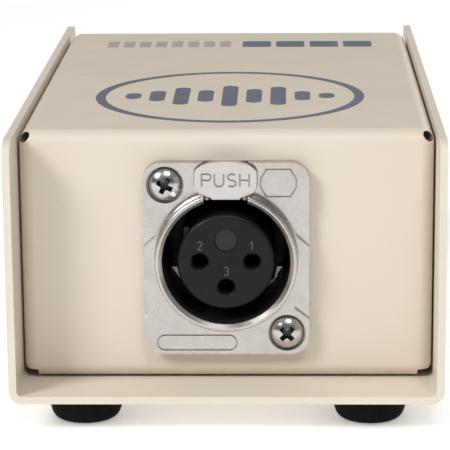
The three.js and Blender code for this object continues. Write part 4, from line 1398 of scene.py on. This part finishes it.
def makeSocketFixings():
    for name, turn in fixing["flangeTurns"].items():
        low, high = nodeBox("socket_screw_" + name)
        spot, height = (low + high) / 2, fixing["head"][1]
        piece = panScrew(*fixing["head"], fixing["shank"], high.y - low.y - height)
        moved(piece, spot.x, low.y + height, spot.z, turn)
        node = "socket_screw_" + name
        complete(piece, "flange_screw_" + name, brightNickel, "case", [node])
    low, high = nodeBox("socket_nut_upper")
    nut = hexagonNut(*fixing["flangeNut"], 0, high.y - low.y)
    nodes = ["socket_nut_upper", "socket_nut_lower"]
    completeSet(nut, placesAt(nodes, y=low.y), "flange_nuts", zincPlate, nodes)


makeSocketFixings()
print("fixings made")


# Screws of one kind at the corners. The turn is 90 where the heads face down and -90 where they face up.
def cornerScrews(kind, seat, length, turn, spin):
    source = panScrew(*fixing["head"], fixing["shank"], length)
    nodes = atCorners(kind)
    places = []
    for i, (place, still) in enumerate(placesAt(nodes, z=seat)):
        places.append((place, (turn, 0, spin + 53 * i)))  # no two slots line up
    completeSet(source, places, kind + "_set", zincPlate, nodes)


def makeCaseFixings():
    floor = nodeBox("outer_sleeve")[0].z - fixing["gap"]
    cornerScrews("case_screw", floor, nodeBox("case_screw_front_left")[1].z - floor, 90, 12)
    boardTop = nodeBox("circuit_board")[1].z + fixing["gap"]
    cornerScrews("board_screw", boardTop, boardTop - nodeBox("board_screw_front_left")[0].z, -90, 31)
    low, high = nodeBox("standoff_front_left")
    spacer = hexagonNut(high.y - low.y, fixing["hole"], 0, high.z - low.z, 0.3)
    nodes = atCorners("standoff")
    places = placesAt(nodes, (90, 0, 0), z=low.z)
    completeSet(spacer, places, "hex_spacers", spacerBrass, nodes)


def makeLatchParts():
    low, high = nodeBox("latch_pin")
    spot, half, radius = (low + high) / 2, (high.x - low.x) / 2, (high.z - low.z) / 2
    profile = mirrored([(0, -half), (radius - 0.15, -half), (radius, 0.2 - half)])
    pin = turned(profile, "x", (0, spot.y, spot.z), 32)
    complete(pin, "hinge_pin", zincPlate, "case", ["latch_pin"])
    low, high = nodeBox("latch_spring")
    leaf = 0.12
    path = [
        (high.y - leaf, low.z), (high.y - leaf, low.z + 0.5), (low.y + 0.35, low.z + 2.1),
        (low.y + leaf + 0.02, low.z + 2.5), (low.y + 0.3, high.z - 0.05),
    ]
    spring = strip(path, 2 * leaf - 0.02, low.x, high.x)
    soften(spring, 0.05, 1, 60)
    complete(spring, "latch_leaf", springSteel, "case", ["latch_spring"])
    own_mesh(spring)


makeCaseFixings()
makeLatchParts()

# The circuit board, its tracks and its solder joints.
board = {
    "corner": 1.5,
    "hole": 1.6,
    "track": 0.7,
    "trackTall": 0.022,
    "padTall": 0.035,
    "pad": 1.05,
    "legSpan": 10,
    "capacitorSpan": 7.5,
    "pinRow": (-7.5, 0, 7.5),
    "wireSpread": 1.6,
    "jackLeg": (5.1, 3),
    "sideTrack": 27.8,
}


def boardSpots():
    spots = {}

    def pair(one, two, place, half):
        spots[one], spots[two] = (place[0] - half, place[1]), (place[0] + half, place[1])

    for number in (1, 2):
        pair(f"leg{number}a", f"leg{number}b", middle(f"pad_resistor_{number}"), board["legSpan"] / 2)
    pair("capA", "capB", middle("film_capacitor"), board["capacitorSpan"] / 2)
    low, high = nodeBox("transformer_bobbin")
    for i, x in enumerate(board["pinRow"]):
        spots[f"pinFront{i}"], spots[f"pinRear{i}"] = (x, low.y + 1), (x, high.y - 1)
    for number in (1, 2, 3):
        high = nodeBox(f"output_wire_{number}")[1]
        spots[f"wire{number}"] = (middle(f"socket_contact_{number}").x * board["wireSpread"], high.y - 0.712)
    for sign, name in ((-1, "lift"), (1, "pad")):
        spots[name] = (sign * board["sideTrack"], nodeBox(name + "_switch_wire")[0].y + 0.74)
    across, up = board["jackLeg"]
    for sign, name in ((-1, "input"), (1, "thru")):
        place = (middle(name + "_jack_body").x, nodeBox(name + "_jack_body")[0].y + up)
        pair(name + "Sleeve", name + "Tip", place, sign * across)
    return spots


def makeBoard():
    low, high = nodeBox("circuit_board")
    centre = (low + high) / 2
    outline = roundedRectangle(high.x - low.x, high.y - low.y, board["corner"], (centre.x, centre.y), 6)
    plate = prism(outline, low.z, high.z, "z")
    carve(plate, *cornerHoles("board_screw", board["hole"], low.z - past, high.z + past))
    soften(plate, 0.1, 1)
    complete(plate, "board_plate", solderMask, "case", ["circuit_board"])
    spots = boardSpots()
    sideX = board["sideTrack"]
    routes = [
        ["wire1", "pinFront2"], ["wire2", "pinFront0"], ["wire3", "pinFront1"], ["leg1b", "leg2b"],
        ["capA", "pinFront2"],
        ["leg1a", (-sideX, spots["leg1a"][1] + 1.4), "lift"],
        ["capB", (sideX, spots["capB"][1] + 2.6), "pad"],
        ["leg2b", (-12.5, -9.6), (-12.5, 7), "pinRear0"],
        ["inputSleeve", "pinRear0"], ["thruSleeve", "pinRear2"],
        ["inputTip", (-19.6, 22.5), (4, 22.5), (4, 14), "pinRear1"],
    ]
    tracks = []
    for route in routes:
        line = [spots[stop] if isinstance(stop, str) else stop for stop in route]
        outline = ribbonOutline(line, board["track"])
        tracks.append(prism(outline, high.z - 0.1, high.z + board["trackTall"], "z"))
    complete(gather(*tracks), "board_tracks", boardTrack, "case", [])
    radius, tall = board["pad"], board["padTall"]
    pad = [(0, -0.1), (radius, -0.1), (radius, tall), (0.5, tall), (0.35, tall + 0.01), (0, tall + 0.01)]
    fillet = [(0, -0.95), (0.22, -0.9), (0.28, -0.6), (0.5, -0.32), (0.85, -0.08)]
    fillet += [(radius, -0.02), (radius, 0.1), (0, 0.1)]
    above = [((*spot, high.z), (0, 0, 0)) for spot in spots.values()]
    below = [((*spot, low.z), (0, 0, 31 * i)) for i, spot in enumerate(spots.values())]
    upper = copies(turned(pad, "z", sides=20), above, solderTin)
    lower = copies(turned(fillet, "z", sides=14), below, solderTin)
    complete(gather(upper, lower), "solder_joints", solderTin, "case", [])
    return spots


spots = makeBoard()
print("board made")


# Each jack: a block behind the panel, a threaded bushing through it, washer, nut and tip spring.
def makeJacks():
    panelBack = nodeBox("inner_chassis")[1].y - chassis["sheet"] - fixing["gap"]
    bushing, bore, c = jack["bushing"], jack["bore"], jack["chamfer"]
    for name in ("input", "thru"):
        low, high = nodeBox(name + "_jack_body")
        spot = (low + high) / 2
        half, tall = (high.x - low.x) / 2, (high.z - low.z) / 2
        body = prism(cutRectangle(half, tall, c, c), low.y, panelBack)
        first, wide, reach = jack["vent"]
        tools = []
        for sign in (-1, 1):
            for i in range(jack["vents"]):
                y = low.y + first + jack["ventPitch"] * i
                side = sign * half
                tools.append(block((side - 0.5, y, -reach), (side + 0.5, y + wide, reach)))
        tools.append(block((-half - past, low.y - past, tall - 2.4), (half + past, low.y + 0.8, tall + past)))
        room = jack["roomWidth"] / 2
        carve(body, block((-room, low.y + 1, 1), (room, low.y + 11, tall + past)), *tools)
        soften(body, 0.22, 2)
        carve(body, rod(bore, low.y + 2, panelBack + past, sides=64))
        end, rows = high.y, jack["threadRows"]
        start, top = panelBack - 0.6, end - 0.4
        profile = [(bore, start), (bore, end - 0.5), (bore + 0.45, end - 0.05), (bore + 0.5, end)]
        profile += [(bushing - 0.4, end), (bushing, top)]
        profile += [(bushing, top + (start - top) * i / rows) for i in range(1, rows + 1)]
        bush = turned(profile, sides=64)
        runTree(bush, threadTree, {
            "Pitch": jack["pitch"], "Depth": jack["threadDepth"], "Inner": bore + 0.7,
            "Start": panelBack + 1.2, "End": end - 0.2, "Finish": jackPlastic,
        })
        weld(body, bush)
        moved(body, spot.x, 0, spot.z)
        complete(body, name + "_jack_housing", jackPlastic, "case", [name + "_jack_body"])
        near, far = low.y + 1.5, high.y - 2.5

        def inBore(at, normal):
            return (at.xz - spot.xz).length < bore + 0.1 and near < at.y < far

        # Painted shade inside the jack's bore.
        paintFaces(body, paintedShadeAndBandBlack, inBore)
        node = name + "_tip_spring"
        low, high = nodeBox(node)
        spring = strip([
            (low.y, high.z - 0.4), (low.y + 2.6, high.z - 0.4), (low.y + 4.4, high.z - 0.5),
            (low.y + 5.9, low.z + 0.35), (high.y - 0.25, high.z - 0.4),
        ], jack["leaf"], low.x, high.x)
        soften(spring, 0.1, 1, 50)
        complete(spring, name + "_tip_leaf", springSteel, name + "_tip", [node])
    low, high = nodeBox("input_jack_washer")
    inner, outer, thick = bushing + jack["clear"], (high.x - low.x) / 2, high.y - low.y
    edge = [(inner, 0.1), (inner + 0.1, 0), (outer - 0.15, 0), (outer, 0.15)]
    washer = turned(mirrored(edge, thick / 2), sides=96)
    nodes = ["input_jack_washer", "thru_jack_washer"]
    completeSet(washer, placesAt(nodes, y=low.y), "jack_washer_pair", brightNickel, nodes)
    low, high = nodeBox("input_jack_nut")
    nut = hexagonNut(high.z - low.z, bushing + jack["clear"], 0, high.y - low.y, 0.45)
    nodes = ["input_jack_nut", "thru_jack_nut"]
    completeSet(nut, placesAt(nodes, y=low.y), "jack_nut_pair", brightNickel, nodes)


makeJacks()
print("jacks made")


# Each slide switch: a plated mounting plate, a housing, a ribbed knob on a carrier, and two screws.
def makeSwitches():
    screwPlaces, screwNodes = [], []
    seat = nodeBox("inner_chassis")[1].y + fixing["gap"]
    for name in ("lift", "pad"):
        low, high = nodeBox(name + "_switch_frame")
        spot = (low + high) / 2
        plateBack = high.y - slideSwitch["plate"]
        plate = prism(roundedRectangle(high.x - low.x, high.z - low.z, 1.0), plateBack, high.y)
        soften(plate, 0.12, 1)
        wide, tall = slideSwitch["housing"]
        housing = roundedBox((-wide / 2, low.y, -tall / 2), (wide / 2, plateBack + 0.2, tall / 2), 0.4, 2)
        roomX, roomZ, roomDeep = slideSwitch["room"]
        tools = [block((-roomX, plateBack - roomDeep, -roomZ), (roomX, high.y + past, roomZ))]
        hole, (across, half, slot) = slideSwitch["screwHole"] - 0.1, slideSwitch["rivet"]
        for sign in (-1, 1):
            spread = (sign * slideSwitch["pitch"] / 2, 0, 0)
            tools.append(rod(hole, plateBack - past, high.y + past, centre=spread))
            x = sign * across
            tools.append(block((x - half, low.y - past, -slot), (x + half, low.y + 1.2, slot)))
        weld(plate, housing)
        carve(plate, *tools)
        moved(plate, spot.x, 0, spot.z)
        node = name + "_switch_frame"
        complete(plate, name + "_switch_housing", sliderBlack, "case", [node])
        paintFaces(plate, zincPlate, lambda at, normal: at.y > plateBack - 0.02)

        node = name + "_switch_slider"
        low, high = nodeBox(node)
        spot = (low + high) / 2
        knobWide, knobTall = slideSwitch["knob"]
        neck = low.y + slideSwitch["carrier"]
        rib = slideSwitch["rib"]
        near = (low.x - spot.x, low.y, low.z - spot.z)
        carrier = roundedBox(near, (high.x - spot.x, neck, high.z - spot.z), 0.3, 2)
        knob = block((-knobWide / 2, neck - 0.5, -knobTall / 2), (knobWide / 2, high.y - rib, knobTall / 2))
        soften(knob, 0.18, 2)
        weld(carrier, knob)
        bar = block((-0.2, -0.3, 0.35 - knobTall / 2), (0.2, rib, knobTall / 2 - 0.35))
        soften(bar, 0.1, 2)
        step = (knobWide - 0.8) / (slideSwitch["ribs"] - 1)
        ribs = range(slideSwitch["ribs"])
        places = [((0.4 - knobWide / 2 + step * i, high.y - rib, 0), (0, 0, 0)) for i in ribs]
        weld(carrier, copies(bar, places, sliderBlack))
        moved(carrier, spot.x, 0, spot.z)
        complete(carrier, name + "_switch_knob", sliderBlack, name + "_slider", [node])
        for side, spin in slideSwitch["spin"].items():
            turn = (0, spin + (9 if name == "pad" else 0), 180)
            screwNodes.append(f"{name}_switch_screw_{side}")
            screwPlaces += placesAt(screwNodes[-1:], turn, y=seat)
    length = seat - nodeBox(screwNodes[0])[0].y
    source = panScrew(*fixing["smallHead"], fixing["smallShank"], length)
    completeSet(source, screwPlaces, "switch_screw_set", brightNickel, screwNodes)


makeSwitches()
print("switches made")


# The transformer: laminations, bobbin with pins, taped winding and a riveted strap.
transformer = {
    "leg": 7.0,
    "plates": 20,
    "plateShare": 0.88,
    "play": 0.03,
    "seed": 7,
    "wall": 1.0,
    "clear": 0.2,
    "tapeStep": 0.07,
    "wraps": 7,
    "strap": 0.6,
    "bend": 0.62,
    "rivet": 1.5,
}


def makeTransformer():
    low, high = nodeBox("transformer_core")
    centre = (low + high) / 2
    half, tall, leg = (high.x - low.x) / 2, (high.z - low.z) / 2, transformer["leg"] / 2
    coreDeep = (high.y - low.y) / 2
    pitch = (high.y - low.y) / transformer["plates"]
    plate = block((-half, 0, -tall), (half, pitch * transformer["plateShare"], tall))
    sill = tall - leg
    tools = []
    for near, far in ((leg, half - leg), (leg - half, -leg)):
        tools.append(block((near, -past, -sill), (far, past, sill)))
    for near, far in ((-half - past, leg - half + 0.05), (half - leg - 0.05, half + past)):
        tools.append(block((near, -past, sill - 0.06), (far, 0.12, sill + 0.02)))
    carve(plate, *tools)
    core = meshObject("carrier", [(0, 0, 0)], [])
    runTree(core, stackTree, {
        "Source": plate, "Count": transformer["plates"], "Pitch": pitch,
        "Play": transformer["play"], "Seed": transformer["seed"], "Finish": coreSteel,
    })
    bpy.data.objects.remove(plate)
    tidyNormals(moved(core, centre.x, low.y, centre.z))
    complete(core, "core_laminations", coreSteel, "case", ["transformer_core"])

    low, high = nodeBox("transformer_bobbin")
    clear, wall = transformer["clear"], transformer["wall"]
    innerX, innerY = leg + clear, coreDeep + clear
    middleY = (low.y + high.y) / 2

    def flange(bottom):
        outline = roundedRectangle(high.x - low.x, high.y - low.y, 0.8, (0, middleY), 4)
        return prism(outline, bottom, bottom + wall, "z")

    def coreBlock(grow, bottom, top):
        x, y = innerX + grow, innerY + grow
        return block((-x, middleY - y, bottom), (x, middleY + y, top))

    bobbin = coreBlock(wall, low.z + 0.1, high.z - 0.1)
    weld(bobbin, flange(low.z), flange(high.z - wall))
    carve(bobbin, coreBlock(0, low.z - past, high.z + past))
    soften(bobbin, 0.15, 1)
    complete(bobbin, "coil_bobbin", bobbinNylon, "case", ["transformer_bobbin"])
    pins = []
    for key, (x, y) in spots.items():
        if key.startswith("pin"):
            pins.append(rod(0.32, nodeBox("circuit_board")[1].z - 0.2, low.z + 0.5, "z", (x, y, 0), 12))
    complete(gather(*pins), "coil_pins", solderTin, "case", [])

    low, high = nodeBox("transformer_winding")
    wide, deep = high.x - low.x, high.y - low.y
    sections = []
    lap, step = (high.z - low.z) / transformer["wraps"], transformer["tapeStep"]
    for i in range(transformer["wraps"]):
        for share, inset in ((0.02, step), (0.08, 0.01), (0.9, 0.0), (0.98, step)):
            outline = roundedRectangle(wide - 2 * inset, deep - 2 * inset, 2.0, (0, middleY), 6)
            sections.append((outline, low.z + lap * (i + share)))
    winding = loft(sections)
    carve(winding, coreBlock(wall + 0.1, low.z - past, high.z + past))
    complete(winding, "taped_winding", windingTape, "case", ["transformer_winding"], 50)

    low, high = nodeBox("transformer_strap")
    thick, bend = transformer["strap"], transformer["bend"]
    side = half + clear + thick / 2
    foot, top = low.z + thick / 2, high.z - thick / 2
    left = arc((-side - bend, foot + bend), bend, -90, 0, 5)
    left += arc((bend - side, top - bend), bend, 180, 90, 5)
    path = [(low.x, foot)] + left + [(-a, b) for a, b in reversed(left)] + [(high.x, foot)]
    strap = prism(ribbonOutline(path, thick), low.y, high.y)
    soften(strap, 0.12, 1, 60)
    strapY, radius, face = (low.y + high.y) / 2, transformer["rivet"], foot + thick / 2
    rivets = []
    for sign in (-1, 1):
        dome = [(0, low.z + 0.1), (radius - 0.3, low.z + 0.1), (radius, face), (0.8 * radius, face + 0.5)]
        dome += [(0.4 * radius, face + 0.72), (0, face + 0.78)]
        rivets.append(turned(dome, "z", (sign * (high.x - 1.9), strapY, 0), 32))
    weld(strap, *rivets)
    complete(strap, "core_strap", zincPlate, "case", ["transformer_strap"])


makeTransformer()
print("transformer made")


# Resistors with four bands, and a boxed film capacitor.
component = {
    "resistor": (6.5, 1.05, 1.2),
    "lead": 0.3,
    "bands": (-2.25, -1.1, -0.1, 2.25),
    "band": 0.28,
    "bead": 1.5,
    "lift": 0.6,
}


def makeComponents():
    length, waist, end = component["resistor"]
    half, lead = length / 2, component["lead"]
    for number in (1, 2):
        low, high = nodeBox(f"pad_resistor_{number}")
        spot = (low + high) / 2
        axis = high.z - end
        profile = [(0, -half), (0.7, -half), (1.05, 0.25 - half), (end, 0.6 - half)]
        profile += [(end, 1.4 - half), (waist, 1.8 - half)]
        body = turned(mirrored(profile), "x", sides=40)
        parts, width = [], component["band"]
        for at in component["bands"]:
            ring = (end if abs(at) > component["bead"] else waist) + 0.015
            band = [(0.6, at - width), (ring, at - width), (ring, at + width), (0.6, at + width)]
            parts.append(turned(band, "x", sides=40))
        reach, drop = board["legSpan"] / 2, low.z - 0.1 - axis
        for sign in (-1, 1):
            bend = [(half - 0.4, 0), (reach - 0.9, 0), (reach, -0.7), (reach, drop)]
            parts.append(tube(smoothPath([(sign * x, 0, z) for x, z in bend], 5), lead, 12))
        gather(body, *parts)
        moved(body, spot.x, spot.y, axis)
        node = f"pad_resistor_{number}"
        complete(body, f"banded_resistor_{number}", resistorLacquer, "case", [node])
        inks = (bandBrown, paintedShadeAndBandBlack, bandBrown, contactGold)
        for at, ink in zip(component["bands"], inks):
            centre, proud = spot.x + at, (end if abs(at) > component["bead"] else waist) + 0.005

            def onBand(place, normal):
                far = math.hypot(place.y - spot.y, place.z - axis)
                return abs(place.x - centre) < width + 0.01 and far > proud

            paintFaces(body, ink, onBand)

        def onLead(place, normal):
            thin = math.hypot(place.y - spot.y, place.z - axis) < lead + 0.05
            return thin or abs(place.x - spot.x) > half + 0.05

        paintFaces(body, solderTin, onLead)
    low, high = nodeBox("film_capacitor")
    body = roundedBox((low.x, low.y, low.z + component["lift"]), high, 0.8, 4)
    legs = []
    for key in ("capA", "capB"):
        legs.append(rod(lead, low.z - 0.1, low.z + 1.6, "z", (*spots[key], 0), 12))
    gather(body, *legs)
    complete(body, "boxed_capacitor", capacitorRed, "case", ["film_capacitor"])
    paintFaces(body, solderTin, lambda place, normal: place.z < low.z + component["lift"] - 0.02)


makeComponents()

# Wires: sleeved from the socket's cups, and twisted pairs from the switches.
wire = {"radius": 0.7, "bare": 0.38, "intoCup": 1.3, "strand": 0.36, "pitch": 5.0}


def makeWires():
    boardTop = nodeBox("circuit_board")[1].z
    sleevings = {
        "1": (blackSleeving, "wire_black"),
        "2": (redSleeving, "wire_red"),
        "3": (whiteSleeving, "wire_white"),
    }
    for number, (material, slot) in sleevings.items():
        node = "output_wire_" + number
        contact = middle("socket_contact_" + number)
        cup, x, start = nodeBox(node)[0].y, contact.x, contact.z
        end = boardTop + 0.35
        spread = board["wireSpread"]
        path = smoothPath([
            (x, cup, start), (x, cup + 1.6, start), (1.1 * x, cup + 3.2, start - 1.6),
            (1.4 * x, cup + 3.6, (start + end) / 2), (spread * x, cup + 3.6, end),
        ], 9)
        lead = tube(path, wire["radius"], 20)
        inCup, inBoard = (x, cup - wire["intoCup"], start), (spread * x, cup + 3.6, boardTop - 0.2)
        gather(lead, tube([inCup, *path, inBoard], wire["bare"], 12))
        complete(lead, "output_lead_" + number, material, "case", [node])
        paintFaces(lead, copperWire, lambda at, normal: at.y < cup - 0.02 or at.z < end - 0.05)
    for sign, name, number in ((-1, "lift", "1"), (1, "pad", "2")):
        material, slot = sleevings[number]
        node = name + "_switch_wire"
        frameSpot = middle(name + "_switch_frame")
        x, edge, start = frameSpot.x, sign * board["sideTrack"], nodeBox(node)[1].y
        level, upper = frameSpot.z, frameSpot.z - 1.5
        path = smoothPath([
            (x, start, level), (x, start - 2, level), ((x + edge) / 2, start - 6, upper),
            (edge, start - 9, (upper + boardTop) / 2 + 4), (edge, start - 10.5, boardTop + 4),
            (edge, start - 10.5, boardTop + 0.2),
        ], 16)
        radius, pair = wire["strand"], []
        for turn in (0, math.pi):
            pair.append(tube(strand(path, radius - 0.02, wire["pitch"], turn), radius, 12))
        complete(gather(*pair), name + "_switch_pair", material, "case", [node])


makeWires()
print("inside made")

# Camera, floor and light.
view = {
    "place": (0.00939, -0.3963, 0.11898),
    "turn": -1.58,
    "down": 14.09,
    "roll": -0.47,
    "lens": 182.8,
}


def makeCamera():
    turn, down, roll = (math.radians(view[k]) for k in ("turn", "down", "roll"))
    ahead = Vector((math.sin(turn) * math.cos(down), math.cos(turn) * math.cos(down), -math.sin(down)))
    right = Vector((math.cos(turn), -math.sin(turn), 0))
    up = right.cross(ahead)
    right, up = math.cos(roll) * right + math.sin(roll) * up, -math.sin(roll) * right + math.cos(roll) * up
    data = bpy.data.cameras.new("camera")
    data.lens = view["lens"]
    data.sensor_width = 36
    data.clip_start = 0.01
    camera = bpy.data.objects.new("camera", data)
    scene.collection.objects.link(camera)
    camera.matrix_world = Matrix((
        (right.x, up.x, -ahead.x, view["place"][0]),
        (right.y, up.y, -ahead.y, view["place"][1]),
        (right.z, up.z, -ahead.z, view["place"][2]),
        (0, 0, 0, 1),
    ))
    scene.camera = camera


makeCamera()

studio = {
    "floor": (0.9, 0.9, 0.9),
    "glow": 0.35,
    "sky": 0.1,
    "zenith": 0.32,
    "horizon": (0.1, 0.75),
    "size": 4.0,
    "below": -0.0001,
    "target": (0, 0, 0.025),
    "boxes": [  # name, place, size, power
        ("keyBox", (-0.64, -0.62, 0.66), 0.32, 6.4),
        ("fillBox", (0.8, -0.6, 0.3), 0.5, 0.3),
        ("topBox", (0.12, -0.54, 0.73), 0.32, 2.2),
        ("rearBox", (0.5, 0.85, 0.5), 0.5, 3.2),
    ],
}


def makeStudio():
    size, below = studio["size"], studio["below"]
    vertices = [(a * size, b * size, below) for a, b in ((-1, -1), (1, -1), (1, 1), (-1, 1))]
    floor = meshObject("floor", vertices, [[0, 1, 2, 3]])
    material = bpy.data.materials.new("paleFloor")
    material.use_nodes = True
    shader = material.node_tree.nodes["Principled BSDF"]
    shader.inputs["Base Color"].default_value = (*studio["floor"], 1)
    shader.inputs["Roughness"].default_value = 0.7
    shader.inputs["Emission Color"].default_value = (1, 1, 1, 1)
    shader.inputs["Emission Strength"].default_value = studio["glow"]
    floor.data.materials.append(material)
    world = bpy.data.worlds.new("studio")
    scene.world = world
    world.use_nodes = True
    tree = world.node_tree
    direction = tree.nodes.new("ShaderNodeTexCoord").outputs["Generated"]
    split = tree.nodes.new("ShaderNodeSeparateXYZ")
    tree.links.new(direction, split.inputs[0])
    height = calc(tree, "MAXIMUM", split.outputs[2], 0.0)
    level = mapRange(tree, height, *studio["horizon"], studio["sky"], studio["zenith"])
    level.interpolation_type = "SMOOTHSTEP"
    tree.links.new(level.outputs["Result"], tree.nodes["Background"].inputs["Strength"])
    tree.nodes["Background"].inputs["Color"].default_value = (1, 0.995, 0.985, 1)
    for name, place, wide, power in studio["boxes"]:
        data = bpy.data.lights.new(name, "AREA")
        data.shape = "SQUARE"
        data.size = wide
        data.energy = power
        lamp = bpy.data.objects.new(name, data)
        scene.collection.objects.link(lamp)
        lamp.location = place
        aim = Vector(studio["target"]) - Vector(place)
        lamp.rotation_euler = aim.to_track_quat("-Z", "Y").to_euler()
    scene.view_settings.view_transform = "Standard"


makeStudio()
print("studio made")
